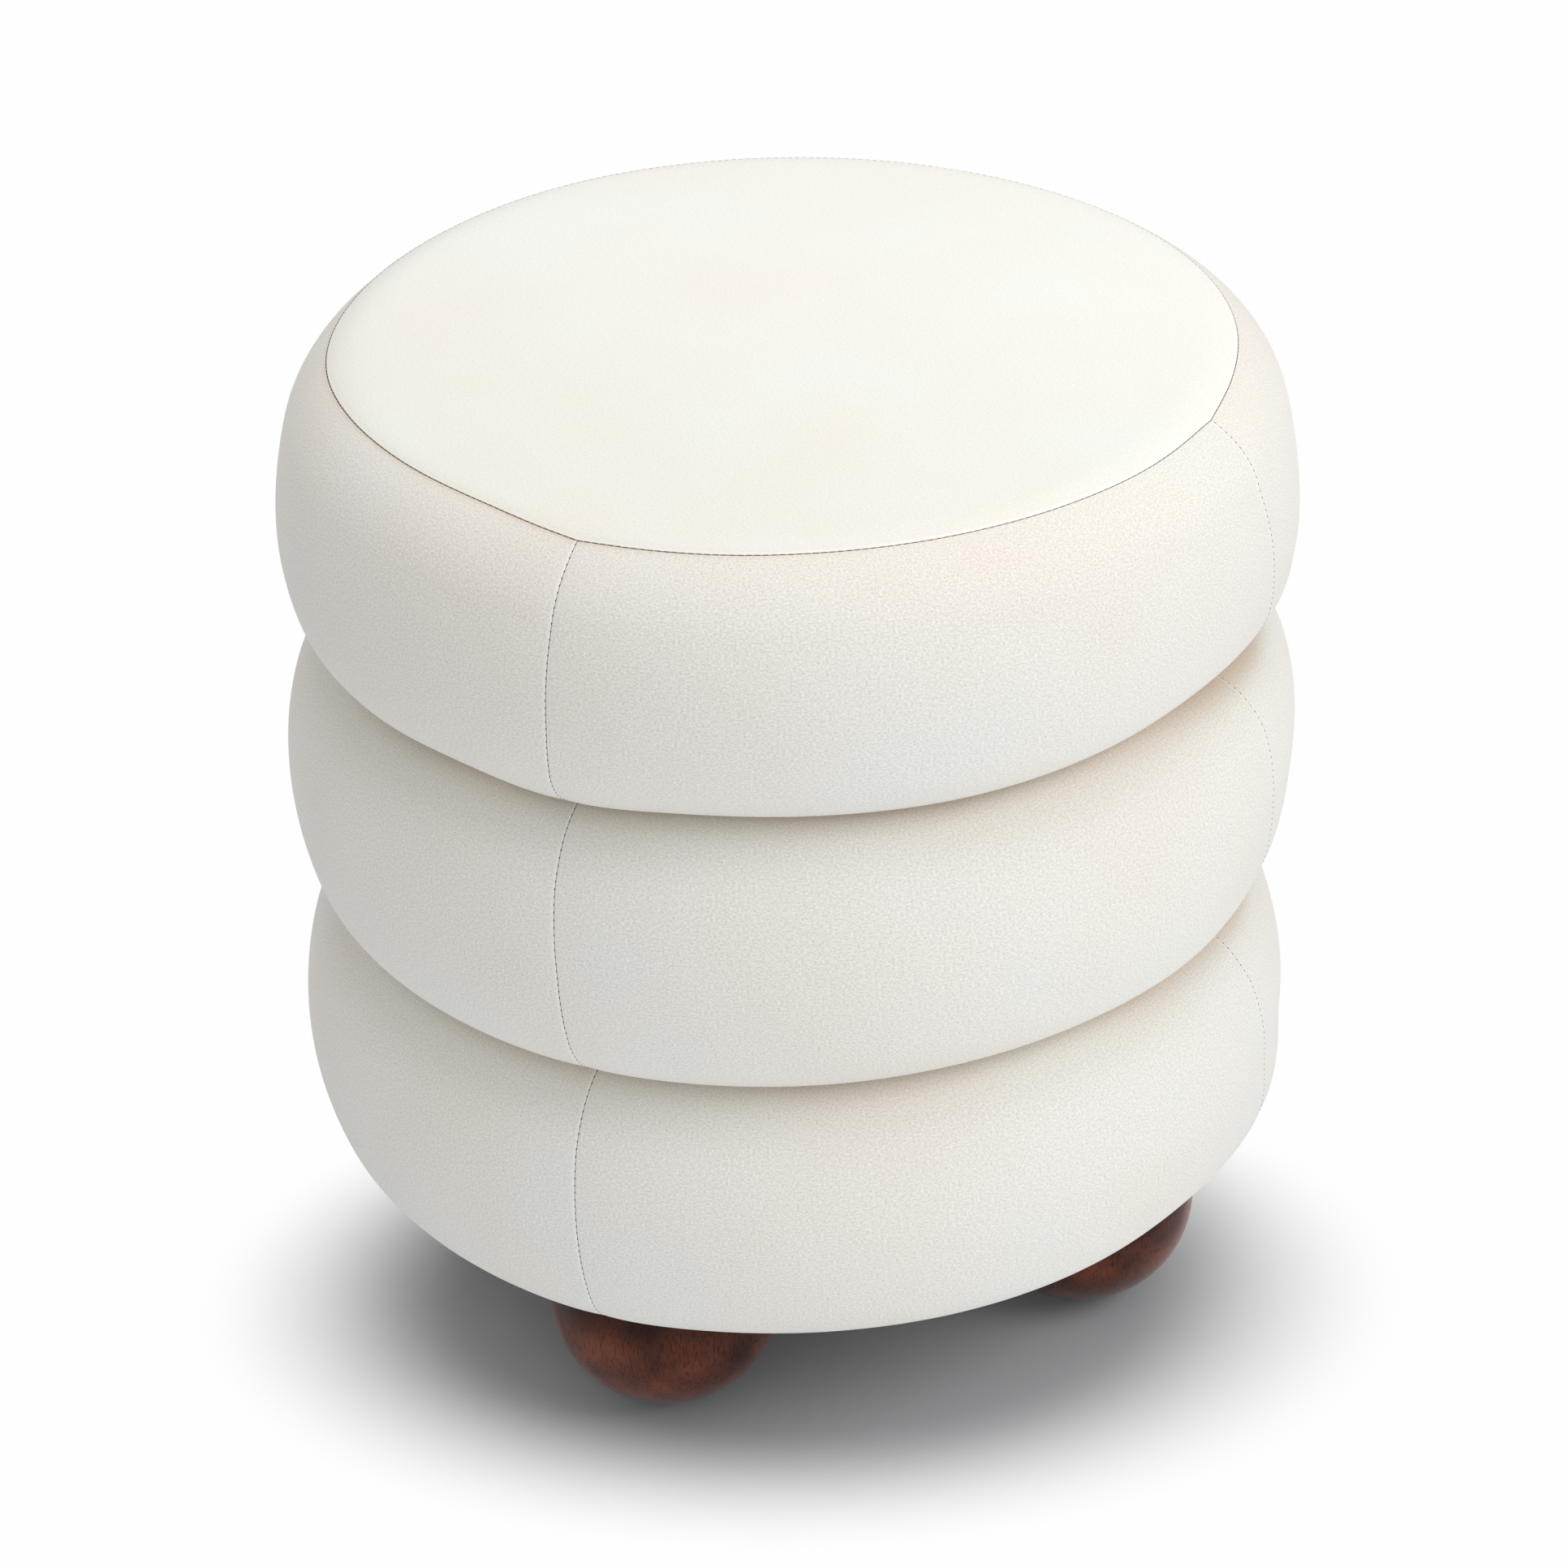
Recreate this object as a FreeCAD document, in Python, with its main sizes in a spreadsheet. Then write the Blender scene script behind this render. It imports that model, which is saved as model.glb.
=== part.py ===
# Round tiered ottoman: a timber drum wrapped in foam, covered as three stacked rolls, on four ball feet.
# Millimetres. +Z is up, the origin is on the floor under the middle of the seat.
# The sewn joints between the quarter panels, and the feet below them, lie on the diagonals.
import FreeCAD, Part
import math
import os

import Sketcher

os.makedirs("parts", exist_ok=True)
doc = FreeCAD.newDocument("ottoman")

# Driving sizes: name, value, what it measures
drivingSizes = [
    ("rollRadius", 224.0, "outside of the middle and bottom rolls"),
    ("topDrawIn", 2.0, "how much narrower the top roll is"),
    ("rollPitch", 129.0, "height of the top roll and of the middle roll"),
    ("baseRollHeight", 127.0, "height of the bottom roll, from its hem to the lower crease"),
    ("bulgeRadius", 120.0, "arc of a roll's side"),
    ("cornerRadius", 42.0, "arc that turns a roll into its crease"),
    ("baseCornerRadius", 34.0, "arc that turns the bottom roll under the base"),
    ("crownRise", 5.5, "middle of the seat above the shoulder of the top roll"),
    ("topSeamInset", 30.0, "seat seam, inside the outside of the top roll"),
    ("seamWidth", 0.8, "sewn joint between two pieces of velvet"),
    ("creaseGap", 0.3, "between two rolls inside a crease"),
    ("coverThick", 1.5, "velvet with its backing"),
    ("waddingThick", 4.0, "polyester wadding under the velvet"),
    ("layerGap", 0.2, "air between curved soft layers"),
    ("hemWidth", 28.0, "velvet turned under the base board"),
    ("threadWidth", 0.4, "sewing thread in a seam"),
    ("threadDeep", 0.9, "depth of the thread below the pile"),
    ("threadSink", 0.3, "how far the thread lies below the pile"),
    ("seatPadThick", 45.0, "seat foam at its middle"),
    ("cordThick", 6.0, "cord that pulls a crease in"),
    ("drumThick", 4.0, "hardboard of the drum wall"),
    ("drumJoint", 1.0, "open butt joint where the drum sheet meets itself"),
    ("boardThick", 15.0, "seat board and base board"),
    ("boardInset", 0.8, "flat of the base board, inside the flat under the bottom roll"),
    ("boardRound", 4.0, "rounded lower edge of the base board"),
    ("hoopThick", 12.0, "plywood hoop behind a crease"),
    ("hoopWidth", 28.0, "plywood hoop behind a crease, from its outside to its open middle"),
    ("postSide", 30.0, "square post"),
    ("hoopWeb", 9.6, "hoop left outside the notch for a post"),
    ("joineryGap", 0.2, "fit between timber pieces"),
    ("screwShank", 4.0, "frame screw"),
    ("screwHead", 8.0, "countersunk head of a frame screw"),
    ("screwLength", 40.0, "frame screw"),
    ("screwClear", 0.1, "air round a frame screw"),
    ("ballRadius", 52.0, "ball foot"),
    ("footInset", 81.0, "middle of a foot, inside the outside of the rolls"),
    ("glideThick", 2.0, "glide under a foot"),
    ("glideRadius", 11.0, "glide under a foot"),
    ("glideShank", 3.0, "nail of a glide"),
    ("glideNail", 14.0, "length of a glide's nail"),
    ("footHeight", 75.5, "flat top of a ball foot above the floor"),
    ("dustThick", 0.5, "dust cover, and the flat of a staple"),
    ("dustInset", 16.0, "edge of the dust cover, inside the edge of the base board"),
    ("boltThick", 8.0, "hanger bolt"),
    ("boltLength", 60.0, "hanger bolt"),
    ("boltProud", 5.0, "hanger bolt above the base board"),
    ("boltClear", 0.1, "air round a hanger bolt"),
    ("nutFlangeRadius", 10.0, "flange of a tee nut"),
    ("nutFlangeThick", 1.5, "flange of a tee nut"),
    ("nutInset", 3.0, "flange of a tee nut, inside the drum wall"),
    ("nutBarrelRadius", 5.5, "barrel of a tee nut"),
    ("nutBarrelLength", 10.0, "barrel of a tee nut"),
    ("stapleCrown", 10.0, "width of a staple"),
    ("stapleWire", 0.8, "leg of a staple"),
    ("stapleLeg", 7.0, "depth of a staple"),
    ("hemStapleInset", 10.0, "ring of hem staples, inside the edge of the base board"),
    ("dustStapleInset", 6.0, "ring of dust cover staples, inside the edge of the dust cover"),
    ("dustStapleTurn", 25.0, "dust staples to each side of a panel's middle, in degrees"),
]

sizes = doc.addObject("Spreadsheet::Sheet", "sizes")
for row, (alias, value, note) in enumerate(drivingSizes, start=1):
    sizes.set(f"A{row}", note)
    sizes.set(f"B{row}", str(value))
    sizes.setAlias(f"B{row}", alias)
doc.recompute()

# Heights above the floor, and other sizes that follow from the driving ones
rollLow = "(sizes.footHeight + sizes.dustThick)"
boardLow = f"({rollLow} + sizes.coverThick)"
boardTop = f"({boardLow} + sizes.boardThick)"
lowerCrease = f"({rollLow} + sizes.baseRollHeight)"
upperCrease = f"({lowerCrease} + sizes.rollPitch)"
shoulder = f"({upperCrease} + sizes.rollPitch)"
crown = f"({shoulder} + sizes.crownRise)"
topRadius = "(sizes.rollRadius - sizes.topDrawIn)"
topSeamRadius = f"({topRadius} - sizes.topSeamInset)"
footRadius = "(sizes.rollRadius - sizes.footInset)"
drumInner = f"({footRadius} + sizes.nutFlangeRadius + sizes.nutInset)"
drumRadius = f"({drumInner} + sizes.drumThick)"
hoopRadius = f"({drumInner} - sizes.joineryGap)"
postRadius = f"({hoopRadius} - sizes.hoopWeb - sizes.joineryGap - sizes.postSide / 2)"
baseFlatRadius = ("(sizes.rollRadius - sizes.bulgeRadius"
                  " + sqrt((sizes.bulgeRadius - sizes.baseCornerRadius)^2"
                  " - (sizes.baseRollHeight / 2 - sizes.baseCornerRadius)^2))")
baseBoardRadius = f"({baseFlatRadius} - sizes.boardInset + sizes.boardRound)"
hemRadius = f"({baseBoardRadius} - sizes.hemWidth)"
hemStapleRadius = f"({baseBoardRadius} - sizes.hemStapleInset)"
dustRadius = f"({baseBoardRadius} - sizes.dustInset)"
dustStapleRadius = f"({dustRadius} - sizes.dustStapleInset)"
waddingDeep = "(sizes.coverThick + sizes.layerGap)"
foamDeep = f"({waddingDeep} + sizes.waddingThick + sizes.layerGap)"
creaseInner = f"({drumRadius} + 2 * sizes.layerGap + sizes.cordThick)"
foamInner = f"({drumRadius} + sizes.layerGap)"
seatBoardTop = f"({crown} - {foamDeep} - sizes.seatPadThick)"
seatBoardLow = f"({seatBoardTop} - sizes.boardThick)"
frameHeight = f"({seatBoardLow} - {boardTop})"
footFlat = "sizes.glideThick"
seamTurn = "(sizes.seamWidth / sizes.rollRadius * 180 / pi)"
threadTurn = "(sizes.threadWidth / sizes.rollRadius * 180 / pi)"

# Quarter panels, named by the side they face, with the turn of their first edge, and the feet below those
fullTurn = 360
firstSeamTurn = 45
quarterSides = ["back", "left", "front", "right"]
footCorners = ["back_right", "back_left", "front_left", "front_right"]
quarterCount = len(quarterSides)
quarterTurn = fullTurn / quarterCount
quarters = [(side, firstSeamTurn + index * quarterTurn) for index, side in enumerate(quarterSides)]
footTurns = [(corner, firstSeamTurn + index * quarterTurn) for index, corner in enumerate(footCorners)]
backTurn = firstSeamTurn + quarterTurn / 2

# How far a cut runs past the piece that it cuts
cutBeyond = 5

# Rolls: the outline of each, from which every soft layer is taken
rolls = {
    "bottom": {
        "reach": "sizes.rollRadius",
        "low": rollLow,
        "high": f"({lowerCrease} - sizes.creaseGap / 2)",
        "lowCorner": "sizes.baseCornerRadius",
        "middle": f"(({rollLow} + {lowerCrease}) / 2)",
    },
    "middle": {
        "reach": "sizes.rollRadius",
        "low": f"({lowerCrease} + sizes.creaseGap / 2)",
        "high": f"({upperCrease} - sizes.creaseGap / 2)",
        "lowCorner": "sizes.cornerRadius",
        "middle": f"(({lowerCrease} + {upperCrease}) / 2)",
    },
    "top": {
        "reach": topRadius,
        "low": f"({upperCrease} + sizes.creaseGap / 2)",
        "high": shoulder,
        "lowCorner": "sizes.cornerRadius",
        "middle": f"(({upperCrease} + {shoulder}) / 2)",
    },
}

subParts = []
reader = doc.addObject("App::FeaturePython", "reader")
reader.addProperty("App::PropertyFloat", "reading")


def read(expression):
    """Value of an expression of the sheet, for the first drawing of a sketch."""
    reader.setExpression("reading", str(expression))
    reader.recompute()
    return reader.reading


def newBody(label, turn=0, radius=None, height=None):
    """A named sub-part, turned about the vertical axis and moved out along that turn."""
    body = doc.addObject("PartDesign::Body", label)
    body.Label = label
    body.Placement = FreeCAD.Placement(FreeCAD.Vector(), FreeCAD.Rotation(FreeCAD.Vector(0, 0, 1), turn))
    if radius:
        body.setExpression(".Placement.Base.x", f"{radius} * cos({turn} deg)")
        body.setExpression(".Placement.Base.y", f"{radius} * sin({turn} deg)")
    if height:
        body.setExpression(".Placement.Base.z", height)
    subParts.append(body)
    return body


def newSketch(body, name, plane="XZ_Plane", height=None, turn=0):
    """A sketch on one of the piece's own origin planes, raised or turned about the upright axis."""
    sketch = body.newObject("Sketcher::SketchObject", name)
    support = [feature for feature in body.Origin.OriginFeatures if feature.Role == plane][0]
    sketch.AttachmentSupport = (support, [""])
    sketch.MapMode = "FlatFace"
    if turn:
        sketch.AttachmentOffset = FreeCAD.Placement(
            FreeCAD.Vector(), FreeCAD.Rotation(FreeCAD.Vector(0, 0, 1), turn))
    if height:
        sketch.setExpression(".AttachmentOffset.Base.z", height)
    return sketch


def size(sketch, kind, target, expression):
    """A driving dimension of a sketch, tied to the sheet."""
    index = sketch.addConstraint(Sketcher.Constraint(kind, *target, read(expression)))
    sketch.setExpression(f"Constraints[{index}]", expression)


def place(sketch, edge, end, x, y):
    """Fixes a point of a sketch at two sizes of the sheet, measured from its origin."""
    for kind, axis, coordinate in (("DistanceX", -2, x), ("DistanceY", -1, y)):
        if coordinate == "0":
            sketch.addConstraint(Sketcher.Constraint("PointOnObject", edge, end, axis))
        else:
            size(sketch, kind, (-1, 1, edge, end), coordinate)


def drawPolygon(sketch, corners):
    """A closed outline of straight lines through corners that are sizes of the sheet."""
    points = [FreeCAD.Vector(read(x), read(y), 0) for x, y in corners]
    first = sketch.GeometryCount
    count = len(points)
    for index in range(count):
        sketch.addGeometry(Part.LineSegment(points[index], points[(index + 1) % count]), False)
    for index in range(count):
        after = (index + 1) % count
        sketch.addConstraint(Sketcher.Constraint("Coincident", first + index, 2, first + after, 1))
    for index, (x, y) in enumerate(corners):
        place(sketch, first + index, 1, x, y)


def drawCircle(sketch, radius, x="0", y="0"):
    centre = FreeCAD.Vector(read(x), read(y), 0)
    edge = sketch.addGeometry(Part.Circle(centre, FreeCAD.Vector(0, 0, 1), read(radius)), False)
    place(sketch, edge, 3, x, y)
    size(sketch, "Radius", (edge,), radius)


def arcBetween(centre, radius, startTurn, endTurn):
    """An arc that runs anticlockwise between two turns, in degrees."""
    circle = Part.Circle(centre, FreeCAD.Vector(0, 0, 1), radius)
    return Part.ArcOfCircle(circle, math.radians(startTurn), math.radians(endTurn))


def innerTangent(sideCentre, sideRadius, cornerRadius, cornerY):
    """Centre of a corner arc at a known height, inside the side arc and tangent to it."""
    rise = cornerY - sideCentre.y
    run = math.sqrt((sideRadius - cornerRadius) ** 2 - rise ** 2)
    return FreeCAD.Vector(sideCentre.x + run, cornerY, 0)


def drawRoll(sketch, roll, deep, inner):
    """The outline of a roll, as deep below the pile as asked, from an inner radius outwards."""
    low = f"({roll['low']} + {deep})"
    high = f"({roll['high']} - {deep})"
    side = f"(sizes.bulgeRadius - {deep})"
    upper = f"(sizes.cornerRadius - {deep})"
    lower = f"({roll['lowCorner']} - {deep})"
    sideX = f"({roll['reach']} - sizes.bulgeRadius)"
    sideCentre = FreeCAD.Vector(read(sideX), read(roll["middle"]), 0)
    upperCentre = innerTangent(sideCentre, read(side), read(upper), read(high) - read(upper))
    lowerCentre = innerTangent(sideCentre, read(side), read(lower), read(low) + read(lower))
    upperTurn = math.degrees(math.atan2(upperCentre.y - sideCentre.y, upperCentre.x - sideCentre.x))
    lowerTurn = math.degrees(math.atan2(lowerCentre.y - sideCentre.y, lowerCentre.x - sideCentre.x))
    corners = [FreeCAD.Vector(read(inner), read(low), 0), FreeCAD.Vector(lowerCentre.x, read(low), 0),
               FreeCAD.Vector(upperCentre.x, read(high), 0), FreeCAD.Vector(read(inner), read(high), 0)]
    under = sketch.addGeometry(Part.LineSegment(corners[0], corners[1]), False)
    turnOut = sketch.addGeometry(arcBetween(lowerCentre, read(lower), -90, lowerTurn), False)
    bulge = sketch.addGeometry(arcBetween(sideCentre, read(side), lowerTurn, upperTurn), False)
    turnIn = sketch.addGeometry(arcBetween(upperCentre, read(upper), upperTurn, 90), False)
    over = sketch.addGeometry(Part.LineSegment(corners[2], corners[3]), False)
    back = sketch.addGeometry(Part.LineSegment(corners[3], corners[0]), False)
    for one, two in ((under, turnOut), (turnOut, bulge), (bulge, turnIn), (turnIn, over)):
        sketch.addConstraint(Sketcher.Constraint("Tangent", one, 2, two, 1))
    for one, two in ((over, back), (back, under)):
        sketch.addConstraint(Sketcher.Constraint("Coincident", one, 2, two, 1))
    sketch.addConstraint(Sketcher.Constraint("Horizontal", under))
    sketch.addConstraint(Sketcher.Constraint("Horizontal", over))
    place(sketch, under, 1, inner, low)
    place(sketch, over, 2, inner, high)
    place(sketch, bulge, 3, sideX, roll["middle"])
    size(sketch, "Radius", (bulge,), side)
    size(sketch, "Radius", (turnIn,), upper)
    size(sketch, "Radius", (turnOut,), lower)


def crownOver(top, corner, cornerRadius):
    """Centre and radius of the arc over the seat, from its height at the axis to a corner arc."""
    drop = top - corner.y
    radius = (corner.x ** 2 + drop ** 2 - cornerRadius ** 2) / (2 * (drop - cornerRadius))
    return FreeCAD.Vector(0, top - radius, 0), radius


def drawCap(sketch, deep, floor):
    """The outline of the crowned seat, as deep below the pile as asked, down to a floor height."""
    top = f"({crown} - {deep})"
    side = f"(sizes.bulgeRadius - {deep})"
    upper = f"(sizes.cornerRadius - {deep})"
    sideX = f"({topRadius} - sizes.bulgeRadius)"
    middle = rolls["top"]["middle"]
    sideCentre = FreeCAD.Vector(read(sideX), read(middle), 0)
    upperCentre = innerTangent(sideCentre, read(side), read(upper), read(shoulder) - read("sizes.cornerRadius"))
    upperTurn = math.degrees(math.atan2(upperCentre.y - sideCentre.y, upperCentre.x - sideCentre.x))
    crownCentre, crownRadius = crownOver(read(top), upperCentre, read(upper))
    crownTurn = math.degrees(math.atan2(upperCentre.y - crownCentre.y, upperCentre.x))
    floorTurn = math.degrees(math.asin((read(floor) - sideCentre.y) / read(side)))
    floorEnd = FreeCAD.Vector(sideCentre.x + math.cos(math.radians(floorTurn)) * read(side), read(floor), 0)
    low = sketch.addGeometry(Part.LineSegment(FreeCAD.Vector(0, read(floor), 0), floorEnd), False)
    bulge = sketch.addGeometry(arcBetween(sideCentre, read(side), floorTurn, upperTurn), False)
    turnIn = sketch.addGeometry(arcBetween(upperCentre, read(upper), upperTurn, crownTurn), False)
    over = sketch.addGeometry(arcBetween(crownCentre, crownRadius, crownTurn, 90), False)
    axis = sketch.addGeometry(
        Part.LineSegment(FreeCAD.Vector(0, read(top), 0), FreeCAD.Vector(0, read(floor), 0)), False)
    for one, two in ((bulge, turnIn), (turnIn, over)):
        sketch.addConstraint(Sketcher.Constraint("Tangent", one, 2, two, 1))
    for one, two in ((low, bulge), (over, axis), (axis, low)):
        sketch.addConstraint(Sketcher.Constraint("Coincident", one, 2, two, 1))
    sketch.addConstraint(Sketcher.Constraint("Horizontal", low))
    sketch.addConstraint(Sketcher.Constraint("PointOnObject", over, 3, -2))
    place(sketch, axis, 1, "0", top)
    place(sketch, low, 1, "0", floor)
    place(sketch, bulge, 3, sideX, middle)
    size(sketch, "Radius", (bulge,), side)
    size(sketch, "Radius", (turnIn,), upper)
    size(sketch, "DistanceY", (-1, 1, turnIn, 3), f"({shoulder} - sizes.cornerRadius)")


def drawDome(sketch, deep):
    """The outline of the top roll and its crowned seat in one, as deep below the pile as asked."""
    roll = rolls["top"]
    low = f"({roll['low']} + {deep})"
    top = f"({crown} - {deep})"
    side = f"(sizes.bulgeRadius - {deep})"
    corner = f"(sizes.cornerRadius - {deep})"
    sideX = f"({topRadius} - sizes.bulgeRadius)"
    cornerHeight = f"({shoulder} - sizes.cornerRadius)"
    sideCentre = FreeCAD.Vector(read(sideX), read(roll["middle"]), 0)
    upperCentre = innerTangent(sideCentre, read(side), read(corner), read(cornerHeight))
    lowerCentre = innerTangent(sideCentre, read(side), read(corner), read(low) + read(corner))
    upperTurn = math.degrees(math.atan2(upperCentre.y - sideCentre.y, upperCentre.x - sideCentre.x))
    lowerTurn = math.degrees(math.atan2(lowerCentre.y - sideCentre.y, lowerCentre.x - sideCentre.x))
    crownCentre, crownRadius = crownOver(read(top), upperCentre, read(corner))
    crownTurn = math.degrees(math.atan2(upperCentre.y - crownCentre.y, upperCentre.x))
    axisLow = FreeCAD.Vector(0, read(low), 0)
    under = sketch.addGeometry(Part.LineSegment(axisLow, FreeCAD.Vector(lowerCentre.x, read(low), 0)), False)
    turnOut = sketch.addGeometry(arcBetween(lowerCentre, read(corner), -90, lowerTurn), False)
    bulge = sketch.addGeometry(arcBetween(sideCentre, read(side), lowerTurn, upperTurn), False)
    turnIn = sketch.addGeometry(arcBetween(upperCentre, read(corner), upperTurn, crownTurn), False)
    over = sketch.addGeometry(arcBetween(crownCentre, crownRadius, crownTurn, 90), False)
    axis = sketch.addGeometry(Part.LineSegment(FreeCAD.Vector(0, read(top), 0), axisLow), False)
    for one, two in ((under, turnOut), (turnOut, bulge), (bulge, turnIn), (turnIn, over)):
        sketch.addConstraint(Sketcher.Constraint("Tangent", one, 2, two, 1))
    for one, two in ((over, axis), (axis, under)):
        sketch.addConstraint(Sketcher.Constraint("Coincident", one, 2, two, 1))
    sketch.addConstraint(Sketcher.Constraint("Horizontal", under))
    sketch.addConstraint(Sketcher.Constraint("PointOnObject", over, 3, -2))
    place(sketch, axis, 1, "0", top)
    place(sketch, under, 1, "0", low)
    place(sketch, bulge, 3, sideX, roll["middle"])
    size(sketch, "Radius", (bulge,), side)
    size(sketch, "Radius", (turnIn,), corner)
    size(sketch, "Radius", (turnOut,), corner)
    size(sketch, "DistanceY", (-1, 1, turnIn, 3), cornerHeight)


def rectangle(left, right, low, high):
    return [(left, low), (right, low), (right, high), (left, high)]


def spin(body, name, draw, cut=False, turn=None):
    """A revolved feature, or a groove, about the vertical axis."""
    sketch = newSketch(body, name + "Outline")
    draw(sketch)
    feature = body.newObject("PartDesign::Groove" if cut else "PartDesign::Revolution", name)
    feature.Profile = sketch
    feature.ReferenceAxis = (sketch, ["V_Axis"])
    feature.Angle = fullTurn
    if turn:
        feature.setExpression("Angle", turn)
    return feature


def cutPolygon(body, name, corners):
    return spin(body, name, lambda sketch: drawPolygon(sketch, corners), cut=True)


def extrude(body, name, draw, low, height, cut=False, turn=0):
    """A pad, or a pocket, that rises from a height above the floor."""
    sketch = newSketch(body, name + "Outline", "XY_Plane", low, turn)
    draw(sketch)
    feature = body.newObject("PartDesign::Pocket" if cut else "PartDesign::Pad", name)
    feature.Profile = sketch
    feature.setExpression("Length", height)
    feature.Reversed = cut
    return feature


def roundPattern(body, name, originals, count, turn=fullTurn):
    pattern = body.newObject("PartDesign::PolarPattern", name)
    pattern.Originals = originals
    axis = [feature for feature in body.Origin.OriginFeatures if feature.Role == "Z_Axis"][0]
    pattern.Axis = (axis, [""])
    pattern.Angle = turn
    pattern.Occurrences = count
    body.Tip = pattern
    return pattern


def primitive(body, kind, name, x, z, **bound):
    """A cylinder or cone that stands upright beside the axis, at a height above the floor."""
    feature = body.newObject("PartDesign::" + kind, name)
    if x != "0":
        feature.setExpression(".Placement.Base.x", x)
    feature.setExpression(".Placement.Base.z", z)
    for key, expression in bound.items():
        feature.setExpression(key, expression)
    return feature


def drawStapleLegs(sketch, radius, gap):
    """Both legs of a staple, or the holes that they leave with a gap round them."""
    half = f"(sizes.stapleWire / 2 + {gap})"
    for outer, inner in (("-sizes.stapleCrown / 2", "-sizes.stapleCrown / 2 + sizes.stapleWire"),
                         ("sizes.stapleCrown / 2 - sizes.stapleWire", "sizes.stapleCrown / 2")):
        drawPolygon(sketch, rectangle(f"{radius} - {half}", f"{radius} + {half}",
                                      f"{outer} - {gap}", f"{inner} + {gap}"))


def stapleHoles(body, name, turn, radius, low, high):
    return extrude(body, name, lambda sketch: drawStapleLegs(sketch, radius, "sizes.joineryGap"),
                   low, f"{high} - {low}", cut=True, turn=turn)


def staple(body, name, turn, radius, low):
    """The flat of a staple under the base, and its legs up into the board."""
    half = "sizes.stapleWire / 2"
    flat = extrude(body, name + "Flat", lambda sketch: drawPolygon(sketch, rectangle(
        f"{radius} - {half}", f"{radius} + {half}", "-sizes.stapleCrown / 2", "sizes.stapleCrown / 2")),
        low, "sizes.dustThick", turn=turn)
    legs = extrude(body, name + "Legs", lambda sketch: drawStapleLegs(sketch, radius, "0"),
                   low, "sizes.stapleLeg", turn=turn)
    return [flat, legs]


# Velvet cover: four sewn panels to each roll, and the round seat panel
hemStapleCount = 16
hemStapleStep = fullTurn / hemStapleCount
hemStaplesPerPanel = hemStapleCount // quarterCount
hemStapleFirst = -hemStapleStep * (hemStaplesPerPanel - 1) / 2
dustStapleTurns = (-read("sizes.dustStapleTurn"), read("sizes.dustStapleTurn"))


def bandPanel(rollName, side, firstEdge):
    roll = rolls[rollName]
    body = newBody(f"{rollName}_band_{side}", firstEdge + quarterTurn / 2)
    inner = hemRadius if rollName == "bottom" else creaseInner
    outside = spin(body, "velvet", lambda sketch: drawRoll(sketch, roll, "0", inner),
                   turn=f"{quarterTurn} - {seamTurn}")
    outside.Midplane = True
    spin(body, "stuffing", lambda sketch: drawRoll(
        sketch, roll, "sizes.coverThick", f"({inner} - {cutBeyond})"), cut=True)
    if rollName == "top":
        cutPolygon(body, "seatOpening", rectangle(
            "0", f"{topSeamRadius} + sizes.seamWidth / 2", roll["middle"], f"{shoulder} + {cutBeyond}"))
    if rollName == "bottom":
        cutPolygon(body, "creaseEnd", rectangle("0", creaseInner, roll["middle"], lowerCrease))
        first = stapleHoles(body, "hemHole", hemStapleFirst, hemStapleRadius, rollLow, boardLow)
        roundPattern(body, "hemHoles", [first], hemStaplesPerPanel, hemStapleStep * (hemStaplesPerPanel - 1))
        for index, turn in enumerate(dustStapleTurns):
            stapleHoles(body, f"dustHole{index}", turn, dustStapleRadius, rollLow, boardLow)
    return body


for rollName in ("top", "middle", "bottom"):
    for side, firstEdge in quarters:
        bandPanel(rollName, side, firstEdge)

seatPanel = newBody("seat_panel")
spin(seatPanel, "velvet", lambda sketch: drawCap(sketch, "0", rolls["top"]["middle"]))
spin(seatPanel, "stuffing", lambda sketch: drawCap(sketch, "sizes.coverThick", rolls["top"]["middle"]), cut=True)
cutPolygon(seatPanel, "edge", rectangle(
    f"{topSeamRadius} - sizes.seamWidth / 2", f"sizes.rollRadius + {cutBeyond}", upperCrease,
    f"{crown} + {cutBeyond}"))

# Sewing thread, sunk in the joints between the panels
threadInner = f"({creaseInner} - {cutBeyond})"
threadDepth = "(sizes.threadSink + sizes.threadDeep)"
bandThread = newBody("band_seam_thread", firstSeamTurn)
strands = []
for rollName in ("top", "middle", "bottom"):
    strand = spin(bandThread, rollName + "Strand",
                  lambda sketch, roll=rolls[rollName]: drawRoll(sketch, roll, "sizes.threadSink", creaseInner),
                  turn=threadTurn)
    strand.Midplane = True
    strands.append(strand)
roundPattern(bandThread, "seams", strands, quarterCount)
for rollName in ("top", "middle", "bottom"):
    spin(bandThread, rollName + "Inside",
         lambda sketch, roll=rolls[rollName]: drawRoll(sketch, roll, threadDepth, threadInner), cut=True)
cutPolygon(bandThread, "seatOpening", rectangle(
    "0", f"{topSeamRadius} + sizes.seamWidth / 2", rolls["top"]["middle"], f"{shoulder} + {cutBeyond}"))

cornerX = (f"({topRadius} - sizes.bulgeRadius + sqrt((sizes.bulgeRadius - sizes.cornerRadius)^2"
           f" - ({shoulder} - sizes.cornerRadius - {rolls['top']['middle']})^2))")
seamHeight = (f"({shoulder} - sizes.cornerRadius"
              f" + sqrt(sizes.cornerRadius^2 - ({topSeamRadius} - {cornerX})^2))")
seatThread = newBody("seat_seam_thread")
spin(seatThread, "strand", lambda sketch: drawPolygon(sketch, rectangle(
    f"{topSeamRadius} - sizes.threadWidth / 2", f"{topSeamRadius} + sizes.threadWidth / 2",
    f"{seamHeight} - {threadDepth}", f"{seamHeight} - sizes.threadSink")))

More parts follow.
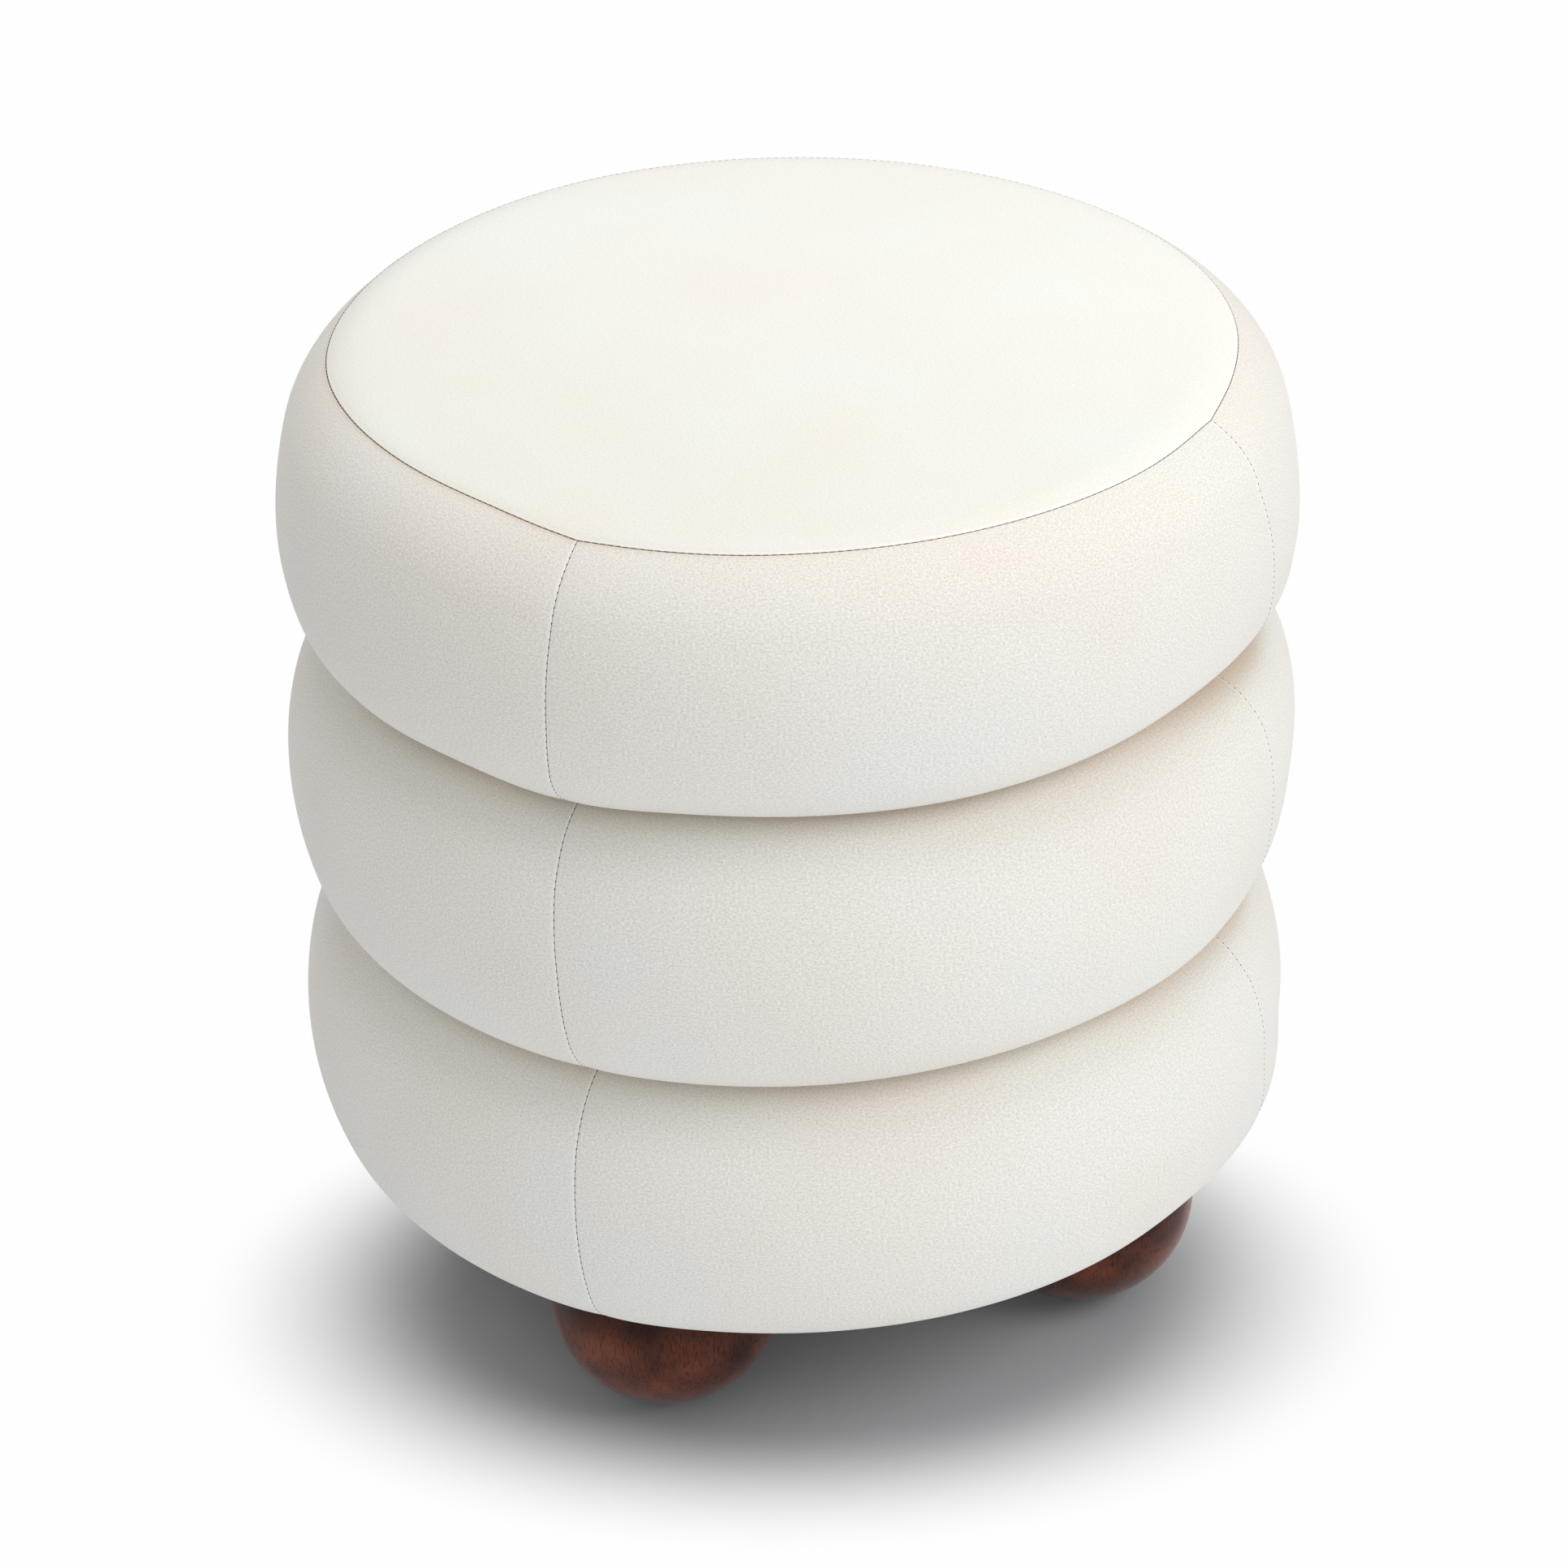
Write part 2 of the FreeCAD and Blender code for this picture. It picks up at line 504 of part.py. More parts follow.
# Wadding under the velvet: a cap over the seat and its roll, and a wrap round each lower roll
waddingInside = f"({foamDeep} - sizes.layerGap)"
boardClear = f"{baseBoardRadius} + sizes.layerGap"
seatWadding = newBody("seat_wadding")
spin(seatWadding, "outside", lambda sketch: drawDome(sketch, waddingDeep))
spin(seatWadding, "inside", lambda sketch: drawDome(sketch, waddingInside), cut=True)
cutPolygon(seatWadding, "opening", rectangle("0", creaseInner, rolls["top"]["low"], rolls["top"]["middle"]))
for rollName in ("middle", "bottom"):
    roll = rolls[rollName]
    wadding = newBody(rollName + "_wadding")
    spin(wadding, "outside", lambda sketch, roll=roll: drawRoll(sketch, roll, waddingDeep, creaseInner))
    spin(wadding, "inside", lambda sketch, roll=roll: drawRoll(sketch, roll, waddingInside, threadInner), cut=True)
    if rollName == "bottom":
        cutPolygon(wadding, "boardEdge", rectangle("0", boardClear, rollLow, boardTop))

# Foam: a crowned seat pad on the seat board, and a ring round the drum for each roll
seatPad = newBody("seat_foam_pad")
spin(seatPad, "pad", lambda sketch: drawCap(sketch, foamDeep, seatBoardTop))
for rollName in ("top", "middle", "bottom"):
    foam = newBody(rollName + "_foam_ring")
    spin(foam, "ring", lambda sketch, roll=rolls[rollName]: drawRoll(sketch, roll, foamDeep, foamInner))
    if rollName == "top":
        cutPolygon(foam, "padSeat", rectangle("0", "sizes.rollRadius", seatBoardTop, crown))
    if rollName == "bottom":
        cutPolygon(foam, "boardEdge", rectangle("0", boardClear, rollLow, boardTop))

# Cords that pull the creases in against the drum
for label, crease in (("lower_crease_cord", lowerCrease), ("upper_crease_cord", upperCrease)):
    cord = doc.addObject("Part::Torus", label)
    cord.Label = label
    cord.setExpression("Radius1", f"{drumRadius} + sizes.layerGap + sizes.cordThick / 2")
    cord.setExpression("Radius2", "sizes.cordThick / 2")
    cord.setExpression(".Placement.Base.z", crease)
    subParts.append(cord)

# Drum wall: a hardboard sheet bent round the hoops, with an open butt joint at the back
drum = newBody("drum_wall", backTurn)
extrude(drum, "sheet", lambda sketch: drawCircle(sketch, drumRadius), boardTop, frameHeight)
extrude(drum, "inside", lambda sketch: drawCircle(sketch, drumInner), boardTop, frameHeight, cut=True)
extrude(drum, "joint", lambda sketch: drawPolygon(sketch, rectangle(
    f"{drumInner} - {cutBeyond}", f"{drumRadius} + {cutBeyond}", "-sizes.drumJoint / 2", "sizes.drumJoint / 2")),
    boardTop, frameHeight, cut=True)

# Hoops behind the creases, notched over the posts
notchHalf = "(sizes.postSide / 2 + sizes.joineryGap)"
for label, crease in (("lower_hoop", lowerCrease), ("upper_hoop", upperCrease)):
    hoop = newBody(label)
    low = f"({crease} - sizes.hoopThick / 2)"
    extrude(hoop, "disc", lambda sketch: drawCircle(sketch, hoopRadius), low, "sizes.hoopThick")
    extrude(hoop, "opening", lambda sketch: drawCircle(sketch, f"{hoopRadius} - sizes.hoopWidth"), low,
            "sizes.hoopThick", cut=True)
    notch = extrude(hoop, "notch", lambda sketch: drawPolygon(sketch, rectangle(
        f"{postRadius} - sizes.postSide", f"{postRadius} + {notchHalf}",
        f"-{notchHalf}", notchHalf)), low, "sizes.hoopThick", cut=True)
    roundPattern(hoop, "notches", [notch], quarterCount)

# Posts between the boards, drilled at both ends for the frame screws
screwHoleRadius = "(sizes.screwShank / 2 + sizes.screwClear)"
screwInPost = "(sizes.screwLength - sizes.boardThick)"
screwPilot = f"({screwInPost} + sizes.screwClear)"
for side, firstEdge in quarters:
    post = newBody(side + "_post", firstEdge + quarterTurn / 2, postRadius, boardTop)
    half = "sizes.postSide / 2"
    extrude(post, "timber", lambda sketch: drawPolygon(sketch, rectangle(
        f"-{half}", half, f"-{half}", half)), "0", frameHeight)
    primitive(post, "SubtractiveCylinder", "lowPilot", "0", "0", Radius=screwHoleRadius, Height=screwPilot)
    primitive(post, "SubtractiveCylinder", "highPilot", "0", f"{frameHeight} - {screwPilot}",
              Radius=screwHoleRadius, Height=screwPilot)

# Frame screws, down through the seat board and up through the base board
headHigh = "((sizes.screwHead - sizes.screwShank) / 2)"
headRadius = "sizes.screwHead / 2"
shankRadius = "sizes.screwShank / 2"
screws = newBody("frame_screws")
topScrew = [
    primitive(screws, "AdditiveCylinder", "topShank", postRadius, f"{seatBoardTop} - sizes.screwLength",
              Radius=shankRadius, Height="sizes.screwLength"),
    primitive(screws, "AdditiveCone", "topHead", postRadius, f"{seatBoardTop} - {headHigh}",
              Radius1=shankRadius, Radius2=headRadius, Height=headHigh),
]
lowScrew = [
    primitive(screws, "AdditiveCylinder", "lowShank", postRadius, boardLow,
              Radius=shankRadius, Height="sizes.screwLength"),
    primitive(screws, "AdditiveCone", "lowHead", postRadius, boardLow,
              Radius1=headRadius, Radius2=shankRadius, Height=headHigh),
]
roundPattern(screws, "allScrews", topScrew + lowScrew, quarterCount)

# Seat board
headClear = f"({headRadius} + sizes.screwClear)"
seatBoard = newBody("seat_board")
extrude(seatBoard, "disc", lambda sketch: drawCircle(sketch, drumRadius), seatBoardLow, "sizes.boardThick")
seatHoles = [
    primitive(seatBoard, "SubtractiveCylinder", "screwHole", postRadius, seatBoardLow,
              Radius=screwHoleRadius, Height="sizes.boardThick"),
    primitive(seatBoard, "SubtractiveCone", "screwSink", postRadius, f"{seatBoardTop} - {headHigh}",
              Radius1=screwHoleRadius, Radius2=headClear, Height=headHigh),
]
roundPattern(seatBoard, "screwHoles", seatHoles, quarterCount)

# Base board, which carries the feet on tee nuts
boltRadius = "(sizes.boltThick / 2)"
boltHoleRadius = f"({boltRadius} + sizes.boltClear)"
baseBoard = newBody("base_board")
disc = extrude(baseBoard, "disc", lambda sketch: drawCircle(sketch, baseBoardRadius),
              boardLow, "sizes.boardThick")
doc.recompute()
lowEdge = min(range(len(disc.Shape.Edges)), key=lambda index: disc.Shape.Edges[index].CenterOfMass.z)
rounding = baseBoard.newObject("PartDesign::Fillet", "lowEdge")
rounding.Base = (disc, [f"Edge{lowEdge + 1}"])
rounding.setExpression("Radius", "sizes.boardRound")
postHoles = [
    primitive(baseBoard, "SubtractiveCylinder", "screwHole", postRadius, boardLow,
              Radius=screwHoleRadius, Height="sizes.boardThick"),
    primitive(baseBoard, "SubtractiveCone", "screwSink", postRadius, boardLow,
              Radius1=headClear, Radius2=screwHoleRadius, Height=headHigh),
]
roundPattern(baseBoard, "screwHoles", postHoles, quarterCount)
nutHole = extrude(baseBoard, "nutHole", lambda sketch: drawCircle(
    sketch, "sizes.nutBarrelRadius + sizes.joineryGap / 2", footRadius), boardLow, "sizes.boardThick",
    cut=True, turn=firstSeamTurn)
roundPattern(baseBoard, "nutHoles", [nutHole], quarterCount)
legTop = f"({boardLow} + sizes.stapleLeg)"
hemHole = stapleHoles(baseBoard, "hemHole", hemStapleFirst, hemStapleRadius, boardLow, legTop)
roundPattern(baseBoard, "hemHoles", [hemHole], hemStapleCount)
dustHoles = [stapleHoles(baseBoard, f"dustHole{index}", turn, dustStapleRadius, boardLow, legTop)
             for index, turn in enumerate(dustStapleTurns)]
roundPattern(baseBoard, "dustHoles", dustHoles, quarterCount)

# Tee nuts in the base board, on the diagonals
nuts = newBody("tee_nuts", firstSeamTurn)
nutParts = [
    primitive(nuts, "AdditiveCylinder", "flange", footRadius, boardTop,
              Radius="sizes.nutFlangeRadius", Height="sizes.nutFlangeThick"),
    primitive(nuts, "AdditiveCylinder", "barrel", footRadius, f"{boardTop} - sizes.nutBarrelLength",
              Radius="sizes.nutBarrelRadius", Height="sizes.nutBarrelLength"),
    primitive(nuts, "SubtractiveCylinder", "thread", footRadius, f"{boardTop} - sizes.nutBarrelLength",
              Radius=boltHoleRadius, Height="sizes.nutBarrelLength + sizes.nutFlangeThick"),
]
roundPattern(nuts, "allNuts", nutParts, quarterCount)

# Hanger bolts, from the feet up through the tee nuts
boltTop = f"({boardTop} + sizes.boltProud)"
boltLow = f"({boltTop} - sizes.boltLength)"
bolts = newBody("hanger_bolts", firstSeamTurn)
shank = primitive(bolts, "AdditiveCylinder", "shank", footRadius, boltLow,
                  Radius=boltRadius, Height="sizes.boltLength")
roundPattern(bolts, "allBolts", [shank], quarterCount)

# Dust cover under the base
dust = newBody("dust_cover")
extrude(dust, "cloth", lambda sketch: drawCircle(sketch, dustRadius), "sizes.footHeight", "sizes.dustThick")
boltHole = extrude(dust, "boltHole", lambda sketch: drawCircle(sketch, boltHoleRadius, footRadius),
                   "sizes.footHeight", "sizes.dustThick", cut=True, turn=firstSeamTurn)
roundPattern(dust, "boltHoles", [boltHole], quarterCount)
clothHoles = [stapleHoles(dust, f"dustHole{index}", turn, dustStapleRadius, "sizes.footHeight", rollLow)
              for index, turn in enumerate(dustStapleTurns)]
roundPattern(dust, "dustHoles", clothHoles, quarterCount)

# Staples of the velvet hem, and of the dust cover over it
hemStaples = newBody("hem_staples")
hemStaple = staple(hemStaples, "staple", hemStapleFirst, hemStapleRadius, "sizes.footHeight")
roundPattern(hemStaples, "ring", hemStaple, hemStapleCount)
dustStaples = newBody("dust_cover_staples")
pair = []
for index, turn in enumerate(dustStapleTurns):
    pair += staple(dustStaples, f"staple{index}", turn, dustStapleRadius,
                   "(sizes.footHeight - sizes.dustThick)")
roundPattern(dustStaples, "ring", pair, quarterCount)


def drawBall(sketch):
    """Half of a ball that is cut flat for the base and for the glide."""
    radius = read("sizes.ballRadius")
    centre = FreeCAD.Vector(0, radius, 0)
    lowTurn = math.degrees(math.asin((read(footFlat) - radius) / radius))
    highTurn = math.degrees(math.asin((read("sizes.footHeight") - radius) / radius))
    ball = sketch.addGeometry(arcBetween(centre, radius, lowTurn, highTurn), False)
    lowEnd, highEnd = sketch.Geometry[ball].StartPoint, sketch.Geometry[ball].EndPoint
    axisHigh = FreeCAD.Vector(0, highEnd.y, 0)
    axisLow = FreeCAD.Vector(0, lowEnd.y, 0)
    top = sketch.addGeometry(Part.LineSegment(highEnd, axisHigh), False)
    axis = sketch.addGeometry(Part.LineSegment(axisHigh, axisLow), False)
    low = sketch.addGeometry(Part.LineSegment(axisLow, lowEnd), False)
    for one, two in ((ball, top), (top, axis), (axis, low), (low, ball)):
        sketch.addConstraint(Sketcher.Constraint("Coincident", one, 2, two, 1))
    sketch.addConstraint(Sketcher.Constraint("Horizontal", top))
    sketch.addConstraint(Sketcher.Constraint("Horizontal", low))
    place(sketch, ball, 3, "0", "sizes.ballRadius")
    size(sketch, "Radius", (ball,), "sizes.ballRadius")
    place(sketch, axis, 1, "0", "sizes.footHeight")
    place(sketch, low, 1, "0", footFlat)


# Turned ball feet, each with its glide
boltInFoot = f"(sizes.footHeight - {boltLow} + sizes.boltClear)"
nailRadius = "(sizes.glideShank / 2)"
for side, turn in footTurns:
    foot = newBody("ball_foot_" + side, turn, footRadius)
    spin(foot, "ball", drawBall)
    primitive(foot, "SubtractiveCylinder", "boltHole", "0", f"sizes.footHeight - {boltInFoot}",
              Radius=boltHoleRadius, Height=boltInFoot)
    primitive(foot, "SubtractiveCylinder", "nailHole", "0", footFlat,
              Radius=f"{nailRadius} + sizes.screwClear", Height="sizes.glideNail + sizes.screwClear")
    glide = newBody("glide_" + side, turn, footRadius)
    primitive(glide, "AdditiveCylinder", "disc", "0", "0", Radius="sizes.glideRadius", Height=footFlat)
    primitive(glide, "AdditiveCylinder", "nail", "0", "0",
              Radius=nailRadius, Height=f"{footFlat} + sizes.glideNail")

doc.recompute()

# Every feature and every piece is sound before anything is written
for item in doc.Objects:
    if "Invalid" in item.State or "Error" in item.State:
        raise RuntimeError(f"{item.Label} in {[b.Label for b in item.InList]} did not rebuild: {item.State}")
for part in subParts:
    if part.Shape.isNull() or not part.Shape.isValid() or not part.Shape.Solids:
        raise RuntimeError(f"{part.Label} has no sound shape")
    part.Shape.exportStep(f"parts/{part.Label}.step")
print(len(subParts), "sub-parts written")
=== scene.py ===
import math

import bmesh
import bpy
import numpy as np
from mathutils import Matrix, Quaternion, Vector


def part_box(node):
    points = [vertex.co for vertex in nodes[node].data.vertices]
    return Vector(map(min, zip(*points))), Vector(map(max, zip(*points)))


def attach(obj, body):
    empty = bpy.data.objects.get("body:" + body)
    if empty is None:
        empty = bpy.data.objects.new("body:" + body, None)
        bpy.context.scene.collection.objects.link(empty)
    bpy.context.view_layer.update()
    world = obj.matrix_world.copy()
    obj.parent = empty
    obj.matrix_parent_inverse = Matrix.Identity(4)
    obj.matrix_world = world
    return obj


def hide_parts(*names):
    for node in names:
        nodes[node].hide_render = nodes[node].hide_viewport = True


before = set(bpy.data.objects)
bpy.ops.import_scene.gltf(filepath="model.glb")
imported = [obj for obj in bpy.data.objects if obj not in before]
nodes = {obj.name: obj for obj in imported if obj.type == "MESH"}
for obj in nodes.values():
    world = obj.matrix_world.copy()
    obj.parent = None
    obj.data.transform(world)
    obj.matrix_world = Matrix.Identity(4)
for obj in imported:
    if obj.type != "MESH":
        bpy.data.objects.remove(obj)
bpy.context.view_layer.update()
mm = 0.001
print("frame loaded:", len(nodes), "pieces")


def linear(hexColour):
    channels = [int(hexColour[index:index + 2], 16) / 255 for index in (1, 3, 5)]
    return [c / 12.92 if c <= 0.04045 else ((c + 0.055) / 1.055) ** 2.4 for c in channels] + [1.0]


def addNode(tree, kind, settings=None, links=None):
    # one node with its settings, the values of its inputs, and what feeds them; stops are a ramp's colours
    node = tree.nodes.new("ShaderNode" + kind)
    for key, value in (settings or {}).items():
        if key == "stops":
            for index, (position, colour) in enumerate(value):
                if index > 1:
                    node.color_ramp.elements.new(position)
                node.color_ramp.elements[index].position = position
                node.color_ramp.elements[index].color = linear(colour)
        elif isinstance(key, str) and hasattr(node, key):
            setattr(node, key, value)
        else:
            node.inputs[key].default_value = value
    for key, source in (links or {}).items():
        tree.links.new(source, node.inputs[key])
    return node


def newMaterial(name, settings):
    # a new material, its tree and shader, and the place on the piece that its patterns go by
    material = bpy.data.materials.new(name)
    material.use_nodes = True
    tree = material.node_tree
    tree.nodes.clear()
    shader = addNode(tree, "BsdfPrincipled", settings)
    addNode(tree, "OutputMaterial", links={"Surface": shader.outputs[0]})
    return material, tree, shader, addNode(tree, "TexCoord").outputs["Object"]


# a Mix node with these settings darkens one colour by another
multiply = {"data_type": "RGBA", "blend_type": "MULTIPLY"}


# Short-pile velvet, brushed: matt when looked at straight, and paler where the pile is seen edge-on.
# Painted shade darkens and warms it down in the creases, along the seat seam and over the seat's front
# left, and a painted highlight pales the fold beside each seam. Its tufts, some tenths of a millimetre
# wide, are drawn coarser, so that they show
velvet = {
    # crease is the warm colour of the painted shade in the creases
    "sides": ("#F7F2EB", "#F7F4ED", "#F6F5F0"), "crease": "#E1CFBF", "sidesNap": 0.85,
    # the seat's colours are a paler copy with fainter tufts, for the top where the light falls fullest, and
    # its other colour is its painted shade
    "seat": ("#F9F5ED", "#F8F7F0", "#F7F9F3"), "seatShadeColour": "#E0DCD1", "seatNap": 0.35,
    # fold is the colour of the painted highlight beside each seam
    "tintStops": (0.32, 0.5, 0.68), "patch": 90 * mm, "fold": "#FDFCF8",
    "napDark": "#DEDCD8", "napLight": "#FFFFFF", "nap": 0.85 * mm, "napStretch": 1.4, "napDepth": 0.22 * mm,
    "relief": 0.9, "rough": 0.92, "specular": 0.2, "sheen": 0.3, "sheenRough": 0.35,
}


def velvetMaterial(name, colours, deepest, napShare):
    material, tree, shader, place = newMaterial(name, {
        "Roughness": velvet["rough"], "Specular IOR Level": velvet["specular"],
        "Sheen Weight": velvet["sheen"], "Sheen Roughness": velvet["sheenRough"],
        "Sheen Tint": linear("#FFFFFF")})
    cloth = addNode(tree, "UVMap", {"uv_map": "cloth"})
    strokes = addNode(tree, "Mapping", {"Scale": (1 / velvet["napStretch"], 1, 1)},
                      {"Vector": cloth.outputs["UV"]})
    nap = addNode(tree, "TexNoise", {"Scale": 1 / velvet["nap"], "Detail": 2, "Roughness": 0.6},
                  {"Vector": strokes.outputs[0]})
    patches = addNode(tree, "TexNoise", {"Scale": 1 / velvet["patch"], "Detail": 2},
                      {"Vector": place})
    tint = addNode(tree, "ValToRGB", {"stops": zip(velvet["tintStops"], colours)},
                   {"Fac": patches.outputs["Fac"]})
    grain = addNode(tree, "ValToRGB",
                    {"stops": [(0.3, velvet["napDark"]), (0.7, velvet["napLight"])]},
                    {"Fac": nap.outputs["Fac"]})
    worn = addNode(tree, "Mix", {**multiply, "Factor": napShare},
                   {6: tint.outputs["Color"], 7: grain.outputs["Color"]})
    # painted shade: the shade attribute darkens the velvet towards its deepest colour
    shade = addNode(tree, "Attribute", {"attribute_name": "shade"})
    deep = addNode(tree, "Mix", {**multiply, 7: linear(deepest)},
                   {"Factor": shade.outputs["Fac"], 6: worn.outputs[2]})
    # a painted highlight pales the fold beside each seam
    foldHighlight = addNode(tree, "Attribute", {"attribute_name": "foldHighlight"})
    pale = addNode(tree, "Mix", {"data_type": "RGBA", 7: linear(velvet["fold"])},
                   {"Factor": foldHighlight.outputs["Fac"], 6: deep.outputs[2]})
    tree.links.new(pale.outputs[2], shader.inputs["Base Color"])
    relief = addNode(tree, "Bump", {"Strength": velvet["relief"], "Distance": velvet["napDepth"]},
                     {"Height": nap.outputs["Fac"]})
    tree.links.new(relief.outputs[0], shader.inputs["Normal"])
    return material


# Bonded polyester thread, drawn dark: its dashes between two folds of velvet are painted shade, standing
# for the shadowed stitch holes
thread = {"dark": "#3B2D21", "light": "#5C4A3C", "twist": 0.6 * mm, "rough": 0.7}


def threadMaterial():
    material, tree, shader, place = newMaterial("taupe_polyester_thread", {"Roughness": thread["rough"]})
    twist = addNode(tree, "TexNoise", {"Scale": 1 / thread["twist"], "Detail": 1},
                    {"Vector": place})
    colour = addNode(tree, "ValToRGB",
                     {"stops": [(0.3, thread["dark"]), (0.7, thread["light"])]},
                     {"Fac": twist.outputs["Fac"]})
    tree.links.new(colour.outputs["Color"], shader.inputs["Base Color"])
    return material


# Turned hardwood under a walnut stain and satin lacquer: open pores show as short dark dashes, drawn wider
# than real so that they show. Painted shadow darkens the ball towards its neck, under the roll, and painted
# shade darkens it towards its foot
wood = {
    "dark": "#29140E", "body": "#4E2619", "light": "#713C29", "figure": 30 * mm,
    "pore": 0.6 * mm, "poreSquash": 0.14, "poreDark": "#8C8078", "poreShare": 0.8, "poreDepth": 0.1 * mm,
    # neck and foot are the colours of the painted shadow at the neck and the painted shade at the foot
    "neck": "#9A8C86", "neckLow": 51 * mm, "neckHigh": 68 * mm, "foot": "#6A5B55", "footHigh": 27 * mm,
    "relief": 0.25, "rough": 0.27, "specular": 0.14,
}


def stainedWoodMaterial():
    material, tree, shader, place = newMaterial("walnut_stained_turned_hardwood", {
        "Roughness": wood["rough"], "Specular IOR Level": wood["specular"]})
    along = addNode(tree, "Mapping", {"Scale": (1, 1, wood["poreSquash"])},
                    {"Vector": place})
    figure = addNode(tree, "TexNoise",
                     {"Scale": 1 / wood["figure"], "Detail": 4, "Distortion": 0.5},
                     {"Vector": place})
    pores = addNode(tree, "TexNoise", {"Scale": 1 / wood["pore"], "Detail": 2},
                    {"Vector": along.outputs[0]})
    stain = addNode(tree, "ValToRGB",
                    {"stops": [(0.3, wood["dark"]), (0.46, wood["body"]), (0.68, wood["light"])]},
                    {"Fac": figure.outputs["Fac"]})
    poreShade = addNode(tree, "ValToRGB",
                        {"stops": [(0.36, wood["poreDark"]), (0.46, "#FFFFFF")]},
                        {"Fac": pores.outputs["Fac"]})
    grained = addNode(tree, "Mix", {**multiply, "Factor": wood["poreShare"]},
                      {6: stain.outputs["Color"], 7: poreShade.outputs["Color"]})
    # painted shadow of the roll: darker towards the ball's neck
    height = addNode(tree, "SeparateXYZ", links={0: place})
    neck = addNode(tree, "MapRange",
                   {"interpolation_type": "SMOOTHSTEP", 1: wood["neckLow"], 2: wood["neckHigh"]},
                   {0: height.outputs["Z"]})
    neckShade = addNode(tree, "Mix", {**multiply, 7: linear(wood["neck"])},
                       {"Factor": neck.outputs[0], 6: grained.outputs[2]})
    # painted shade: darker towards the ball's foot
    low = addNode(tree, "MapRange",
                  {"interpolation_type": "SMOOTHSTEP", 1: 0.0, 2: wood["footHigh"], 3: 1.0, 4: 0.0},
                  {0: height.outputs["Z"]})
    run = addNode(tree, "Mix", {**multiply, 7: linear(wood["foot"])},
                  {"Factor": low.outputs[0], 6: neckShade.outputs[2]})
    tree.links.new(run.outputs[2], shader.inputs["Base Color"])
    relief = addNode(tree, "Bump", {"Strength": wood["relief"], "Distance": wood["poreDepth"]},
                     {"Height": pores.outputs["Fac"]})
    tree.links.new(relief.outputs[0], shader.inputs["Normal"])
    return material


def grainMaterial(name, colours, size, stretch=(1, 1, 1), relief=0.2, depth=0.1 * mm, **settings):
    # a material of one streaked or mottled grain: from dark to light, its real size, and its direction
    material, tree, shader, place = newMaterial(
        name, {key.replace("_", " "): value for key, value in settings.items()})
    turned = addNode(tree, "Mapping", {"Scale": stretch}, {"Vector": place})
    grain = addNode(tree, "TexNoise", {"Scale": 1 / size, "Detail": 4, "Distortion": 0.3},
                    {"Vector": turned.outputs[0]})
    stops = [(0.3 + 0.4 * index / (len(colours) - 1), colour) for index, colour in enumerate(colours)]
    mottled = addNode(tree, "ValToRGB", {"stops": stops}, {"Fac": grain.outputs["Fac"]})
    tree.links.new(mottled.outputs["Color"], shader.inputs["Base Color"])
    raised = addNode(tree, "Bump", {"Strength": relief, "Distance": depth},
                     {"Height": grain.outputs["Fac"]})
    tree.links.new(raised.outputs[0], shader.inputs["Normal"])
    return material


velvetSides = velvetMaterial("ivory_short_pile_velvet", velvet["sides"], velvet["crease"],
                             velvet["sidesNap"])
# a lit copy of the velvet for the seat: paler, with fainter tufts, and with painted shade of its own
velvetSeat = velvetMaterial("ivory_short_pile_velvet_seat_lit", velvet["seat"], velvet["seatShadeColour"],
                            velvet["seatNap"])
shadeDarkThread = threadMaterial()
stainedWood = stainedWoodMaterial()
# Bonded polyester wadding: white, fluffy, no shine
wadding = grainMaterial("bonded_polyester_wadding", ["#E6E7E6", "#F6F6F4"], 3 * mm, relief=0.6,
                        depth=0.6 * mm, Roughness=1.0)
# Cut polyurethane foam: cream, with open cells about a millimetre wide
foam = grainMaterial("cut_polyurethane_foam", ["#D9C98F", "#EBDDA8", "#F1E6BC"], 1.2 * mm, relief=0.5,
                     depth=0.4 * mm, Roughness=0.95)
# Twisted cotton cord: undyed, dull
cotton = grainMaterial("twisted_cotton_cord", ["#B9AD97", "#D8CDB8"], 0.8 * mm, relief=0.4, Roughness=0.9)
# Birch plywood, sanded and raw: pale, with long straight grain
plywood = grainMaterial("sanded_birch_plywood", ["#C39C6A", "#D8B684", "#E2C698"], 9 * mm, (0.12, 1, 1),
                        relief=0.15, Roughness=0.6)
# Tempered hardboard: brown, fine fibres
hardboard = grainMaterial("tempered_hardboard", ["#5B3E25", "#6E4C2F", "#7C5A3A"], 1.5 * mm,
                          Roughness=0.55)
# Planed pine: yellow, with long resinous streaks up the post
pine = grainMaterial("planed_pine", ["#B98549", "#D9AF73", "#E7C78F"], 5 * mm, (1, 1, 0.06), relief=0.15,
                     Roughness=0.55)
# Zinc-plated steel: bright, faintly mottled
zinc = grainMaterial("zinc_plated_steel", ["#9EA3A6", "#B9BDBF"], 2 * mm, relief=0.05, Roughness=0.32,
                     Metallic=1.0)
# Moulded nylon: off-black, satin
nylon = grainMaterial("moulded_black_nylon", ["#1B1C1D", "#26272A"], 0.8 * mm, relief=0.15, Roughness=0.45)
# Spunbonded polypropylene, black: dull, with a fine speckle
cambric = grainMaterial("spunbonded_black_dust_cloth", ["#17181A", "#2A2B2E"], 0.9 * mm, relief=0.4,
                        Roughness=0.95)
print("materials made")

# Heights that come from the frame
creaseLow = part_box("bottom_band_front")[1].z
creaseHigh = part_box("middle_band_front")[1].z
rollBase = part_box("bottom_band_front")[0].z
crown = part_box("seat_panel")[1].z

# The rolls' plain outline, before the cover settles
rolls = {
    "reach": 224 * mm, "topReach": 222 * mm, "bulge": 120 * mm, "corner": 42 * mm, "baseCorner": 34 * mm,
    "shoulder": 461 * mm, "root": 167 * mm, "hem": 160.5 * mm, "seatSeam": 192 * mm,
    "creaseGap": 0.3 * mm, "arcStep": 0.5 * mm,
}

